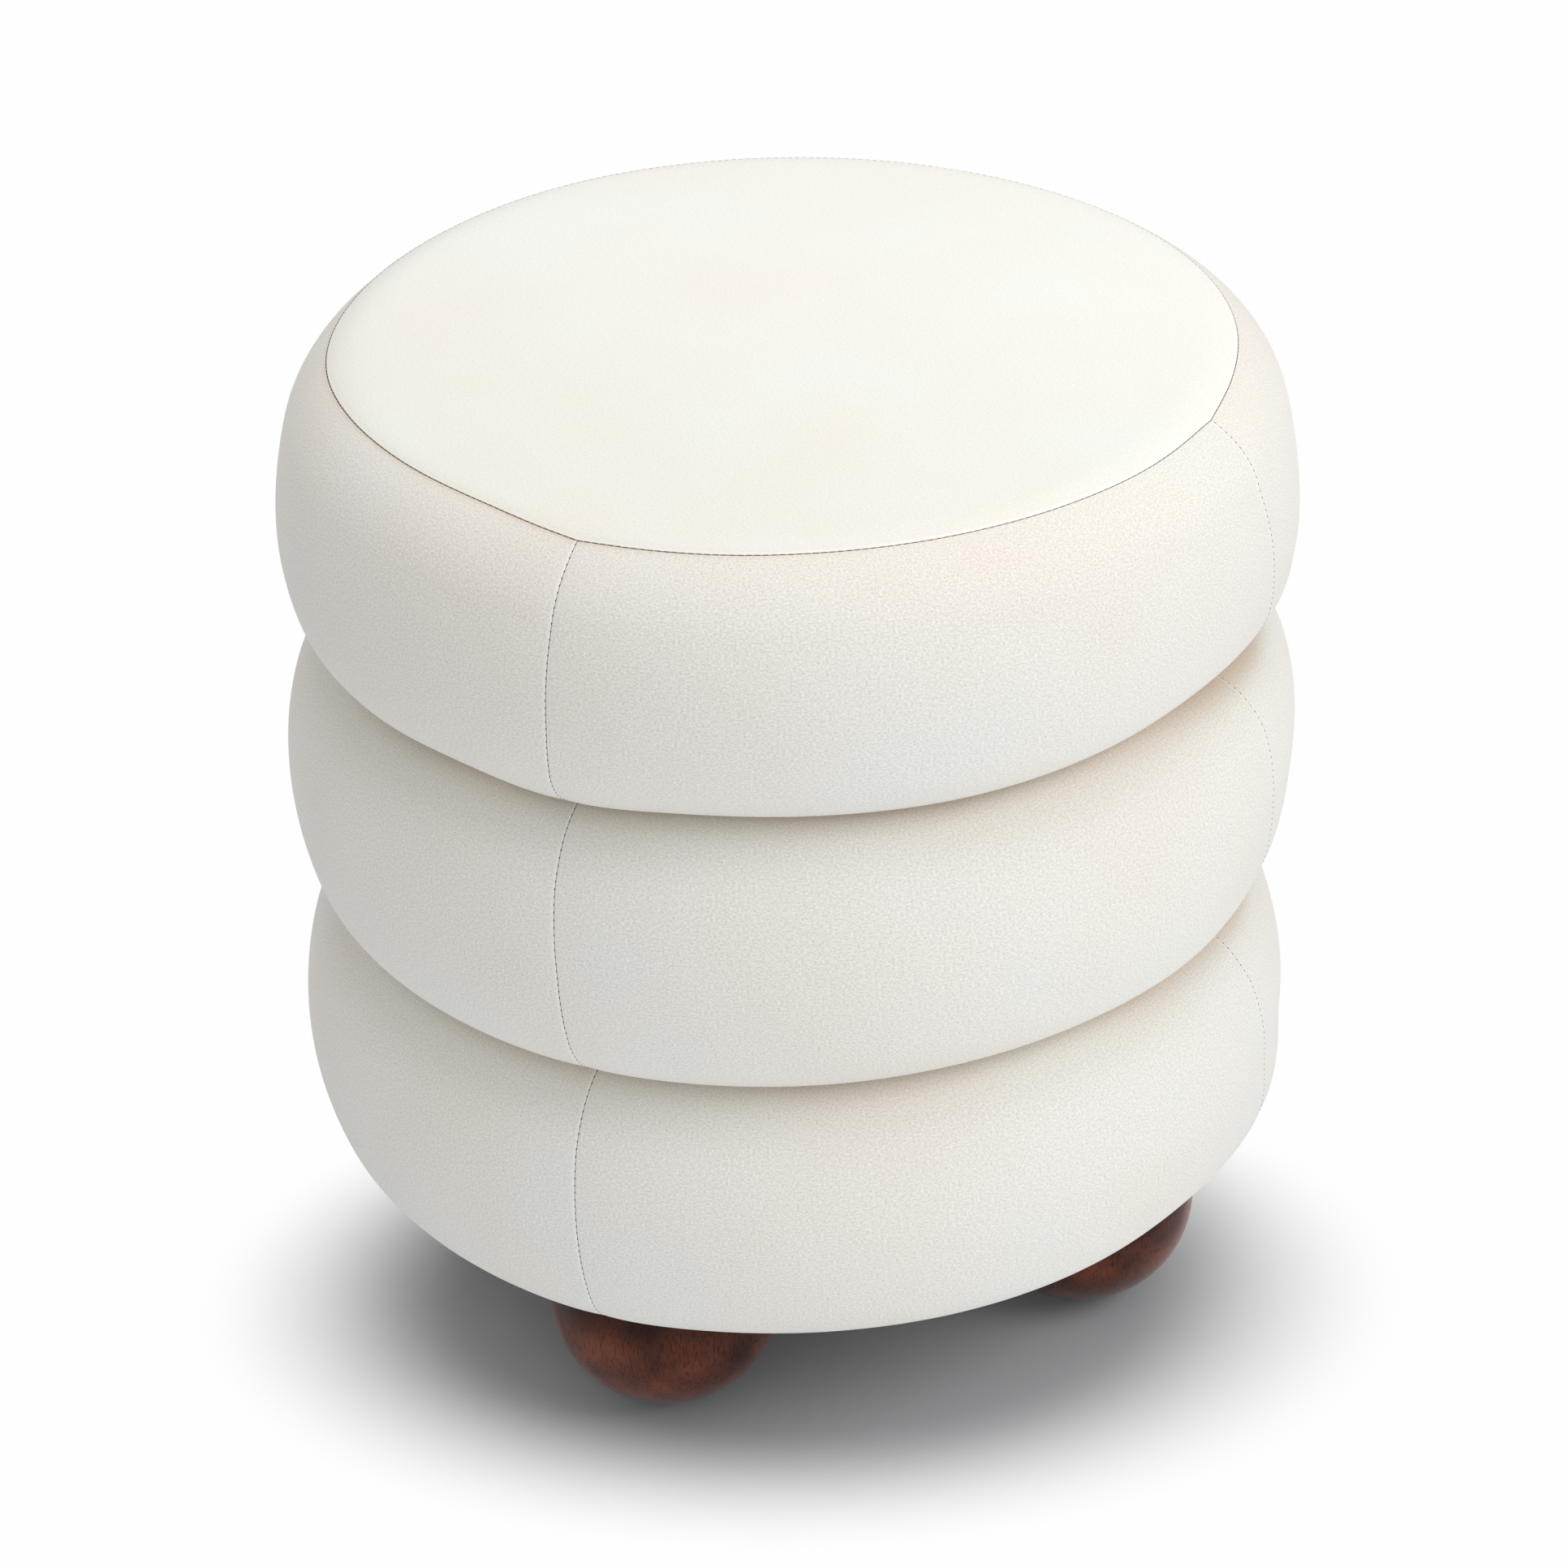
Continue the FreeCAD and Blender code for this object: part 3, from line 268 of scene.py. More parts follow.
# How far each upright seam, named by its turn, strays from the quarter's line, in degrees, from the
# roll's top to its foot
seamLeans = {
    "top": {45: (0.4, 0.2, -0.4, -0.8, -1.2), 135: (-0.3, 0, 0.6, 1.2, 1.6),
            225: (0, -0.3, -0.9, -2.0, -2.7), 315: (0.1, 0.2, 2.8, 6.8, 7.5)},
    "middle": {45: (-1.2, -0.4, 0.2, 0.5, 0.3), 135: (1.8, 1.0, 0.6, 0.8, 1.2),
               225: (-3.4, -1.7, -0.75, -0.45, -0.8), 315: (4.0, 3.5, 4.2, 6.8, 6.0)},
    "bottom": {45: (0.4, 0, -0.4, -0.5, -0.2), 135: (1.0, 0.4, 0, -0.6, -0.8),
               225: (-1.8, -0.6, 0, 0.5, 0.8), 315: (3.6, 3.1, 5.5, 9.0, 9.0)},
}


def arcPoints(centre, radius, startTurn, endTurn):
    count = max(2, round(abs(endTurn - startTurn) * radius / rolls["arcStep"]))
    turns = np.linspace(startTurn, endTurn, count)
    return [(centre[0] + radius * math.cos(t), centre[1] + radius * math.sin(t)) for t in turns]


def rollOutline(reach, low, high, lowCorner, highCorner, inner, crownHeight=None):
    # radius and height, from the top's inner end round the outside to the underside's inner end
    bulge = rolls["bulge"]
    side = (reach - bulge, (low + high) / 2)

    def cornerCentre(height, radius):
        return side[0] + math.sqrt((bulge - radius) ** 2 - (height - side[1]) ** 2), height

    upper = cornerCentre(high - highCorner, highCorner)
    lower = cornerCentre(low + lowCorner, lowCorner)
    upperTurn = math.atan2(upper[1] - side[1], upper[0] - side[0])
    lowerTurn = math.atan2(lower[1] - side[1], lower[0] - side[0])
    if crownHeight:
        drop = crownHeight - upper[1]
        crownRadius = (upper[0] ** 2 + drop ** 2 - highCorner ** 2) / (2 * (drop - highCorner))
        crownCentre = (0, crownHeight - crownRadius)
        crownTurn = math.atan2(upper[1] - crownCentre[1], upper[0])
        points = arcPoints(crownCentre, crownRadius, math.pi / 2, crownTurn)
        points += arcPoints(upper, highCorner, crownTurn, upperTurn)[1:]
    else:
        points = [(inner[0], high)] + arcPoints(upper, highCorner, math.pi / 2, upperTurn)
    points += arcPoints(side, bulge, upperTurn, lowerTurn)[1:]
    points += arcPoints(lower, lowCorner, lowerTurn, -math.pi / 2)[1:]
    return np.array(points + [(inner[1], low)])


class Roll:
    # a stuffed roll: its outline by length, where its side panels start, and how its cover swells
    def __init__(self, name, outline):
        self.name = name
        self.outline = outline
        self.lengths = np.concatenate([[0], np.cumsum(np.hypot(*np.diff(outline, axis=0).T))])
        self.whole = self.lengths[-1]
        self.start = 0
        self.swell = None

    def point(self, s):
        radius, height = self.outline.T
        return np.interp(s, self.lengths, radius), np.interp(s, self.lengths, height)

    def facing(self, s):
        # the way out of the stuffing, across the outline
        s = np.clip(s, 1.2 * mm, self.whole - 1.2 * mm)
        ahead, behind = self.point(s + mm), self.point(s - mm)
        dr, dz = ahead[0] - behind[0], ahead[1] - behind[1]
        size = np.hypot(dr, dz)
        return -dz / size, dr / size

    def lengthAt(self, radius):
        # the first length at which the outline reaches a radius
        widest = np.argmax(self.outline[:, 0])
        return np.interp(radius, self.outline[:widest, 0], self.lengths[:widest])


topRoll = Roll("top", rollOutline(rolls["topReach"], creaseHigh + rolls["creaseGap"], rolls["shoulder"],
                                  rolls["corner"], rolls["corner"], (0, rolls["root"]), crown))
middleRoll = Roll("middle", rollOutline(rolls["reach"], creaseLow + rolls["creaseGap"], creaseHigh,
                                        rolls["corner"], rolls["corner"], (rolls["root"], rolls["root"])))
bottomRoll = Roll("bottom", rollOutline(rolls["reach"], rollBase, creaseLow, rolls["baseCorner"],
                                        rolls["corner"], (rolls["root"], rolls["hem"])))
allRolls = [topRoll, middleRoll, bottomRoll]
seatSeamAt = topRoll.start = topRoll.lengthAt(rolls["seatSeam"])
print("outlines drawn", [round(roll.whole / mm) for roll in allRolls], round(seatSeamAt / mm))


def smoothStep(value, low, high):
    t = np.clip((value - low) / (high - low), 0, 1)
    return t * t * (3 - 2 * t)


def hump(distance, reach):
    # one smooth rise and fall
    return 0.5 + 0.5 * np.cos(np.pi * np.clip(distance / reach, -1, 1))


def turnFrom(turn, centre):
    # the short way round the axis, in degrees
    return (turn - centre + 180) % 360 - 180


def turnToSeam(turn):
    # round the axis to the nearest of the quarters' lines, which are at 45, 135, 225 and 315 degrees
    return np.abs(turn % 90 - 45)


def aroundTurn(turn, values):
    # a smooth closed curve through values at evenly spaced turns, in degrees
    count = len(values)
    position = np.mod(turn, 360) / 360 * count
    index = np.floor(position).astype(int)
    t = position - index
    p = [np.take(values, (index + shift) % count) for shift in (-1, 0, 1, 2)]
    return p[1] + 0.5 * t * (p[2] - p[0] + t * (2 * p[0] - 5 * p[1] + 4 * p[2] - p[3]
                                                 + t * (3 * (p[1] - p[2]) + p[3] - p[0])))


# How the cover has settled
settling = {
    # in mm at every 15 degrees from +X: the height of each crease and of the lower edge
    "lowCrease": [1.2, 0.8, 0.2, -0.6, 0.3, 0.5, 0, -0.5, -0.8, -1.8, -2.0, -2.2,
                  -2.9, -2.6, -2.3, -1.9, -0.5, 0.5, 1.5, 1.4, -0.8, 1.6, 1.5, 1.6],
    "highCrease": [-0.5, -0.3, 0, -0.8, 0.5, 0.8, 0, -0.5, -1.0, -2.0, -2.0, -2.2,
                   -3.2, -2.2, 0.1, -1.5, 1.8, 2.1, 1.4, 1.8, 2.6, 1.2, -2.2, -1.4],
    "lowerEdge": [0, 0.3, 0.5, -0.8, 0.4, 0.4, 0.3, 0, -0.3, -1.2, -1.2, -1.5,
                  -2.0, -2.4, -2.7, -2.5, -0.3, 0.6, 0.5, 0, 0, -0.6, -0.5, 0],
    # the same for how far out the seat seam lies, which the cloth this near to it follows
    "seatSeam": [5.5, 5.0, 3.5, 2.0, 0.5, 0, 0, 1.0, 2.5, 3.8, 3.6, 2.2,
                 -1.0, -3.5, -4.2, 0.2, 0.4, -0.2, 0, 0.8, 2.1, 2.4, 2.8, 4.6],
    "seatReach": 40 * mm,
    # an upright seam draws a corner in the seat seam, this deep and within these degrees
    "corner": 1.3 * mm, "cornerTurn": 3.0,
    # and pinches the roll, this deep and this wide, and in full only this far below the seat seam
    "pinch": 0.5 * mm, "pinchReach": 8 * mm, "pinchStart": 12 * mm,
    # the cover can't swell this near to its end in a crease, and swells freely this far from it
    "held": 14 * mm, "free": 34 * mm,
    # the radii between which a crease, and the lower edge, start to show
    "creaseShows": (162 * mm, 185 * mm), "edgeShows": (190 * mm, 205 * mm),
}

# Where the stuffing stands fuller or slacker than the plain outline: turn and reach about the axis in
# degrees, place and reach along the outline in mm, and how far out in mm
fullness = {
    "top": [(142, 50, 228, 60, -4.7), (342, 48, 305, 60, 4.5), (230, 80, 198, 52, -1.6),
            (336, 44, 332, 44, 4.4), (160, 50, 262, 50, -1.6)],
    "middle": [(342, 50, 60, 60, 4.0), (342, 48, 150, 50, 2.2), (160, 50, 125, 60, -1.2)],
    "bottom": [(342, 48, 60, 40, -1.2), (342, 50, 156, 50, 4.0), (324, 34, 150, 44, 4.2),
               (160, 50, 50, 40, 0.4)],
}
leanReach = 60    # degrees to each side over which the cloth follows a seam that strays


def seamLean(roll, turn, s):
    # how far the cloth is turned about the axis so that the upright seams run where they were sewn
    lean = np.zeros_like(turn)
    t = np.clip((s - roll.start) / (roll.whole - roll.start), 0, 1)
    for seamTurn, leans in seamLeans[roll.name].items():
        away = np.abs(turnFrom(turn, seamTurn))
        lean += np.interp(t, np.linspace(0, 1, len(leans)), leans) * (1 - smoothStep(away, 0, leanReach))
    return lean


def fullnessAt(roll, turn, s):
    total = np.zeros_like(turn)
    for centre, reach, at, along, out in fullness[roll.name]:
        total += hump(turnFrom(turn, centre), reach) * hump(s - at * mm, along * mm) * out * mm
    return total


def swellAt(roll, turn, s):
    # the simulated cover's distance off the outline, read smoothly between the cage's points
    if roll.swell is None:
        return np.zeros_like(turn)
    grid = roll.swell
    rows, columns = grid.shape

    def weights(t):
        return [(1 - t) ** 3 / 6, (3 * t ** 3 - 6 * t ** 2 + 4) / 6,
                (-3 * t ** 3 + 3 * t ** 2 + 3 * t + 1) / 6, t ** 3 / 6]

    u = np.mod(turn - 45, 360) / 360 * columns
    v = np.clip((s - roll.start) / (roll.whole - roll.start), 0, 1) * (rows - 1)
    column, row = np.floor(u).astype(int), np.minimum(np.floor(v).astype(int), rows - 2)
    total = np.zeros_like(turn)
    for i, across in enumerate(weights(u - column)):
        for j, down in enumerate(weights(v - row)):
            total += across * down * grid[np.clip(row + j - 1, 0, rows - 1), (column + i - 1) % columns]
    return total


def settle(roll, turn, s, depth):
    # where a point of a roll's layers lies, this deep in it: its turn about the axis, radius and height
    held, free = settling["held"], settling["free"]
    if roll is topRoll:
        near = 1 - smoothStep(np.abs(s - seatSeamAt), 0, settling["seatReach"])
        corner = settling["corner"] * np.exp(-turnToSeam(turn) / settling["cornerTurn"])
        s = s + near * (aroundTurn(turn, settling["seatSeam"]) * mm + corner)
        swells, pinched = 1, smoothStep(s, seatSeamAt, seatSeamAt + settling["pinchStart"])
    else:
        swells, pinched = smoothStep(s, held, free), 1
    swells = swells * smoothStep(roll.whole - s, held, free)
    radius, height = roll.point(s)
    outR, outZ = roll.facing(s)
    toSeam = np.radians(turnToSeam(turn)) * np.maximum(radius, mm)
    stand = swells * (swellAt(roll, turn, s) + fullnessAt(roll, turn, s)) - depth
    stand = stand - swells * pinched * settling["pinch"] * np.exp(-toSeam / settling["pinchReach"])
    radius = radius + outR * stand
    height = height + outZ * stand
    lower = smoothStep(height, rollBase, creaseLow) * (1 - smoothStep(height, creaseLow, creaseHigh))
    upper = (smoothStep(height, creaseLow, creaseHigh)
             * (1 - smoothStep(height, creaseHigh, rolls["shoulder"])))
    edge = 1 - smoothStep(height, rollBase, creaseLow)
    inCrease = smoothStep(radius, *settling["creaseShows"])
    atEdge = smoothStep(radius, *settling["edgeShows"])
    height = height + mm * (inCrease * (lower * aroundTurn(turn, settling["lowCrease"])
                                        + upper * aroundTurn(turn, settling["highCrease"]))
                            + atEdge * edge * aroundTurn(turn, settling["lowerEdge"]))
    return turn + seamLean(roll, turn, s), radius, height


def spacing(length, step, fine, fineEnd=None):
    # distances along a length: crowded by the steps in fine at its start, and in fineEnd at its end
    start = np.cumsum([0] + fine)
    end = length - np.cumsum([0] + (fineEnd if fineEnd is not None else fine))[::-1]
    count = max(1, math.ceil((end[0] - start[-1]) / step))
    return np.concatenate([start, np.linspace(start[-1], end[0], count + 1)[1:-1], end])


def spunSheet(points, startTurn, spanTurn, steps):
    # a section spun about the axis: each point is radius, height, length along the roll, and depth
    bm = bmesh.new()
    along = bm.verts.layers.float.new("along")
    deep = bm.verts.layers.float.new("deep")
    verts = []
    for radius, height, s, depth in points:
        vert = bm.verts.new(Vector((radius, 0, height)))
        vert[along], vert[deep] = s, depth
        verts.append(vert)
    edges = [bm.edges.new(pair) for pair in zip(verts, verts[1:])]
    bmesh.ops.rotate(bm, verts=verts, cent=(0, 0, 0),
                     matrix=Matrix.Rotation(math.radians(startTurn), 3, "Z"))
    bmesh.ops.spin(bm, geom=verts + edges, cent=(0, 0, 0), axis=(0, 0, 1), dvec=(0, 0, 0),
                   angle=math.radians(spanTurn), steps=steps, use_merge=spanTurn == 360,
                   use_duplicate=False)
    return bm


def faceOutwards(bm):
    # the widest face of an open strip has to look away from the axis
    bm.normal_update()
    widest = max(bm.faces, key=lambda face: face.calc_center_median().xy.length)
    if widest.normal.xy.dot(widest.calc_center_median().xy) <= 0:
        bmesh.ops.reverse_faces(bm, faces=bm.faces[:])


def finishPiece(name, bm, material):
    mesh = bpy.data.meshes.new(name)
    bm.to_mesh(mesh)
    bm.free()
    mesh.materials.append(material)
    mesh.shade_smooth()
    piece = bpy.data.objects.new(name, mesh)
    bpy.context.scene.collection.objects.link(piece)
    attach(piece, "root")
    return piece


def readPoints(mesh):
    values = np.empty(len(mesh.vertices) * 3, dtype=np.float32)
    mesh.vertices.foreach_get("co", values)
    return values.reshape(-1, 3).astype(float)


def readLayer(mesh, name):
    values = np.empty(len(mesh.vertices), dtype=np.float32)
    mesh.attributes[name].data.foreach_get("value", values)
    return values.astype(float)


def writePoints(mesh, turn, radius, height):
    turn = np.radians(turn)
    points = np.stack([radius * np.cos(turn), radius * np.sin(turn), height], axis=1)
    mesh.vertices.foreach_set("co", points.astype(np.float32).ravel())
    mesh.update()


def turnOf(points):
    return np.degrees(np.arctan2(points[:, 1], points[:, 0]))


def addClothMap(mesh, across, along):
    layer = mesh.uv_layers.new(name="cloth")
    corner = np.empty(len(mesh.loops), dtype=np.int32)
    mesh.loops.foreach_get("vertex_index", corner)
    places = np.stack([across[corner], along[corner]], axis=1)
    layer.data.foreach_set("uv", places.astype(np.float32).ravel())


def addShade(mesh, name, values):
    mesh.attributes.new(name, "FLOAT", "POINT").data.foreach_set("value", values.astype(np.float32))


def dropLayers(mesh):
    # the lengths and depths were only needed to place the points
    for name in ("along", "deep"):
        mesh.attributes.remove(mesh.attributes[name])


def declare(piece, node):
    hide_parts(node)


def addThickness(piece, thick, offset):
    shell = piece.modifiers.new("thickness", "SOLIDIFY")
    shell.thickness = thick
    shell.offset = offset


# Velvet, cut as a round seat and twelve quarter panels, each edge turned in at its seam, where a hair's
# breadth stays open
panels = {
    "row": 1.8 * mm, "column": 3.6 * mm, "seatRow": 3 * mm, "seatColumns": 360, "thick": 0.8 * mm,
    "turnIn": 0.3 * mm, "seatTurnIn": 0.5 * mm, "gap": 0.04 * mm, "fill": 0.95,
    "edgeSteps": [0.22 * mm, 0.3 * mm, 0.4 * mm, 0.55 * mm, 0.8 * mm, 1.1 * mm, 1.6 * mm, 2.2 * mm,
                  2.8 * mm],
}

# Painted shade and painted highlight on the pile, from 0 to 1, and where: each has its share, its reach
# along the cloth, and the turn that it is strongest at, with its reach in degrees
shading = {
    # painted shade along the seat seam at the left, and faintly over the top roll's shoulder
    "seam": 0.9, "seamReach": 1.2 * mm, "seamTurn": 205, "seamSpread": 80,
    "shoulder": 0.08, "shoulderFrom": 10 * mm, "shoulderTo": 50 * mm,
    # painted shade in the creases: less at the front, and further out at the right
    "creaseFrom": 10 * mm, "creaseTo": 38 * mm, "frontTurn": 255, "frontSpread": 80, "frontLess": 0.55,
    "rightTurn": 328, "rightSpread": 50, "rightFrom": 24 * mm, "rightTo": 11 * mm,
    # painted shade over the seat, growing towards its front left
    "seatShadeShare": 0.22, "seatShadeTurn": 240, "seatShadeFrom": -100 * mm,
    # a painted highlight on the fold beside a seam
    "fold": 0.45, "seatFold": 0.5, "foldAt": 0.7 * mm,
}
sides = {"right": -45, "back": 45, "left": 135, "front": 225}


def turnedIn(distance, fold):
    # how far the cloth dives where it turns in at a seam
    t = np.clip(distance, 0, fold)
    return fold - np.sqrt(np.maximum(0, fold ** 2 - (fold - t) ** 2))


def declareVelvet(panel, node):
    dropLayers(panel.data)
    addThickness(panel, panels["thick"], -1)
    declare(panel, node)


# painted shade along the seat seam, strongest at the left
def seamShade(distance, turn):
    return (shading["seam"] * np.exp(-distance / shading["seamReach"])
            * hump(turnFrom(turn, shading["seamTurn"]), shading["seamSpread"]))


# where the painted highlight lies beside a seam
def foldShade(distance):
    return np.exp(-((distance - shading["foldAt"]) / shading["foldAt"]) ** 2)


def bandPanel(name, roll, startTurn):
    sewn = roll is topRoll    # the top roll's panels are sewn to the seat, the others end in a crease
    row = panels["row"]
    rows = spacing(roll.whole - roll.start, row, panels["edgeSteps"] if sewn else [row], [row]) + roll.start
    span = math.radians(90) * rolls["reach"]
    columns = spacing(span, panels["column"], panels["edgeSteps"])
    radius, height = roll.point(rows)
    bm = spunSheet(zip(radius, height, rows, rows * 0), startTurn, 90, len(columns) - 1)
    faceOutwards(bm)
    panel = finishPiece(name + "_velvet", bm, velvetSides)
    mesh = panel.data
    s = readLayer(mesh, "along")
    turn = np.mod(turnOf(readPoints(mesh)) - startTurn + 10, 360) - 10
    across = np.interp(turn / 90 * (len(columns) - 1), np.arange(len(columns)), columns)
    fromSeam = np.minimum(across, span - across)
    across = np.clip(across, panels["gap"], span - panels["gap"])
    turn = startTurn + np.degrees(across / rolls["reach"])
    depth = turnedIn(fromSeam, panels["turnIn"])
    shown = s
    if sewn:
        depth = np.maximum(depth, turnedIn(s - roll.start, panels["seatTurnIn"]))
        shown = np.maximum(s, roll.start + panels["gap"])
        # painted shade along the seat seam, and faintly over the shoulder below it
        shade = seamShade(s - roll.start, turn) + shading["shoulder"] * (
            1 - smoothStep(s - roll.start, shading["shoulderFrom"], shading["shoulderTo"]))
    else:
        # painted shade in the crease under the roll above, less at the front and further out at the right
        front = hump(turnFrom(turn, shading["frontTurn"]), shading["frontSpread"])
        right = hump(turnFrom(turn, shading["rightTurn"]), shading["rightSpread"])
        shade = (1 - shading["frontLess"] * front) * (
            1 - smoothStep(s, shading["creaseFrom"] + shading["rightFrom"] * right,
                           shading["creaseTo"] + shading["rightTo"] * right))
    writePoints(mesh, *settle(roll, turn, shown, depth))
    addClothMap(mesh, across, s)
    addShade(mesh, "shade", shade)
    # painted highlight on the fold beside the seam
    addShade(mesh, "foldHighlight", shading["fold"] * foldShade(fromSeam) * (across > span / 2))
    declareVelvet(panel, name)


def seatPanel():
    rows = spacing(seatSeamAt, panels["seatRow"], [panels["seatRow"]], panels["edgeSteps"])
    radius, height = topRoll.point(rows)
    bm = spunSheet(zip(radius, height, rows, rows * 0), 45, 360, panels["seatColumns"])
    bmesh.ops.remove_doubles(bm, verts=bm.verts, dist=0.001 * mm)
    bm.normal_update()
    if max(bm.faces, key=lambda face: face.calc_center_median().z).normal.z < 0:
        bmesh.ops.reverse_faces(bm, faces=bm.faces[:])
    panel = finishPiece("seat_panel_velvet", bm, velvetSeat)
    mesh = panel.data
    s = readLayer(mesh, "along")
    shown = np.minimum(s, seatSeamAt - panels["gap"])
    turn, radius, height = settle(topRoll, turnOf(readPoints(mesh)), shown,
                                  turnedIn(seatSeamAt - s, panels["seatTurnIn"]))
    writePoints(mesh, turn, np.maximum(radius, 0) * (s > 0), height)
    points = readPoints(mesh)
    addClothMap(mesh, points[:, 0], points[:, 1])
    # painted shade over the seat towards its front left, and painted shade along its seam
    forward = s * np.cos(np.radians(turn - shading["seatShadeTurn"]))
    addShade(mesh, "shade", shading["seatShadeShare"] * smoothStep(forward, shading["seatShadeFrom"], seatSeamAt)
             + seamShade(seatSeamAt - s, turn))
    # painted highlight on the fold beside the seat seam
    addShade(mesh, "foldHighlight", shading["seatFold"] * foldShade(seatSeamAt - s))
    declareVelvet(panel, "seat_panel")


# The cover of a roll as a cage of points, held at its seams and in its creases and blown up from inside.
# It starts a little inside the outline, and middle holds the columns of a quarter that swell evenly
cover = {"columns": 112, "row": 6 * mm, "inside": 2.5 * mm, "pressure": 9.0, "frames": 20, "quality": 5,
         "inCap": 3 * mm, "outCap": 6 * mm, "keep": 3 * mm, "middle": slice(8, 20)}


def inflateCover(roll):
    rows = np.linspace(roll.start, roll.whole, round((roll.whole - roll.start) / cover["row"]) + 1)
    radius, height = roll.point(rows)
    outR, outZ = roll.facing(rows)
    bm = spunSheet(zip(radius - cover["inside"] * outR, height - cover["inside"] * outZ, rows, rows * 0),
                   45, 360, cover["columns"])
    faceOutwards(bm)
    cage = finishPiece(roll.name + "_cover_cage", bm, velvetSides)
    mesh = cage.data
    s = readLayer(mesh, "along")
    start = readPoints(mesh)
    column = np.round(np.mod(turnOf(start) - 45, 360) / 360 * cover["columns"]).astype(int)
    column = column % cover["columns"]
    row = np.round((s - roll.start) / (roll.whole - roll.start) * (len(rows) - 1)).astype(int)
    held = (row == 0) | (row == len(rows) - 1) | (column % (cover["columns"] // len(sides)) == 0)
    pins = cage.vertex_groups.new(name="held")
    pins.add([int(index) for index in np.nonzero(held)[0]], 1.0, "REPLACE")
    cloth = cage.modifiers.new("cover", "CLOTH")
    physics = cloth.settings
    physics.use_pressure = True
    physics.uniform_pressure_force = cover["pressure"]
    physics.vertex_group_mass = "held"
    physics.effector_weights.gravity = 0
    physics.quality = cover["quality"]
    cloth.point_cache.frame_start = 1
    cloth.point_cache.frame_end = cover["frames"]
    scene = bpy.context.scene
    for number in range(1, cover["frames"] + 1):
        scene.frame_set(number)
    blown = cage.evaluated_get(bpy.context.evaluated_depsgraph_get())
    moved = readPoints(blown.to_mesh())
    blown.to_mesh_clear()
    scene.frame_set(1)
    outR, outZ = roll.facing(s)
    outward = np.hypot(moved[:, 0], moved[:, 1]) - np.hypot(start[:, 0], start[:, 1])
    grid = np.zeros((len(rows), cover["columns"]))
    grid[row, column] = np.clip(outward * outR + (moved[:, 2] - start[:, 2]) * outZ,
                                -cover["inCap"], cover["outCap"])
    bpy.data.objects.remove(cage)
    bpy.data.meshes.remove(mesh)
    return grid


for roll in allRolls:
    grid = inflateCover(roll)
    print(roll.name, "cover blown up, mm:", np.round(np.percentile(grid, [0, 10, 50, 90, 100]) / mm, 2))
    # the four panels of a roll are cut alike: each takes what is common to them
    quarter = np.median(grid.reshape(len(grid), len(sides), -1), axis=1)
    even = np.median(quarter[:, cover["middle"]], axis=1, keepdims=True)
    roll.swell = np.tile(np.clip(quarter - even, -cover["keep"], cover["keep"]), len(sides))

seatPanel()
for side, startTurn in sides.items():
    for roll in allRolls:
        bandPanel(roll.name + "_band_" + side, roll, startTurn)
print("velvet sewn")

# Stitches, each a short bead of thread across its seam's groove, dark as painted shade in the stitch holes.
# In the seat seam the thread is drawn deepest at the right
stitch = {"pitch": 3.3 * mm, "long": 0.9 * mm, "thick": 0.5 * mm, "sunk": 0.05 * mm, "clear": 4 * mm,
          "underSeat": 2 * mm, "seatLong": 3.1 * mm, "seatSunk": 0.12 * mm, "deepTurn": 320,
          "deepSpread": 90, "deeper": 2, "runs": 8, "ahead": 0.3}


def pointsOn(roll, turns, lengths, depth):
    turn, radius, height = settle(roll, turns, lengths, depth)
    angle = np.radians(turn)
    return [Vector(point) for point in zip(radius * np.cos(angle), radius * np.sin(angle), height)]


def sewRun(whole, places, ahead, length):
    # one run of stitches, added to the whole
    run = bmesh.new()
    size = Matrix.Diagonal((stitch["thick"] / 2, stitch["thick"] / 2, length / 2, 1))
    for place, towards in zip(places, ahead):
        turned = (towards - place).to_track_quat("Z", "Y").to_matrix().to_4x4()
        bmesh.ops.create_uvsphere(run, u_segments=6, v_segments=4, radius=1,
                                  matrix=Matrix.Translation(place) @ turned @ size)
    mesh = bpy.data.meshes.new("run")
    run.to_mesh(mesh)
    run.free()
    whole.from_mesh(mesh)
    bpy.data.meshes.remove(mesh)


def sewUprightSeams():
    bm = bmesh.new()
    for roll in allRolls:
        first = seatSeamAt + stitch["underSeat"] if roll is topRoll else stitch["clear"]
        lengths = np.arange(first, roll.whole - stitch["clear"], stitch["pitch"])
        for seamTurn in seamLeans[roll.name]:
            turns = lengths * 0 + seamTurn
            sewRun(bm, pointsOn(roll, turns, lengths, stitch["sunk"]),
                   pointsOn(roll, turns, lengths + mm, stitch["sunk"]), stitch["long"])
    declare(finishPiece("band_seam_stitches", bm, shadeDarkThread), "band_seam_thread")


def sewSeatSeam():
    bm = bmesh.new()
    count = round(2 * math.pi * rolls["seatSeam"] / stitch["pitch"])
    for turns in np.array_split(np.arange(count) * 360 / count, stitch["runs"]):
        lengths = turns * 0 + seatSeamAt
        deeper = stitch["deeper"] * hump(turnFrom(turns, stitch["deepTurn"]), stitch["deepSpread"])
        sunk = stitch["seatSunk"] * (1 + deeper)
        sewRun(bm, pointsOn(topRoll, turns, lengths, sunk),
               pointsOn(topRoll, turns + stitch["ahead"], lengths, sunk), stitch["seatLong"])
    declare(finishPiece("seat_seam_stitches", bm, shadeDarkThread), "seat_seam_thread")


sewUprightSeams()
sewSeatSeam()
print("seams stitched")

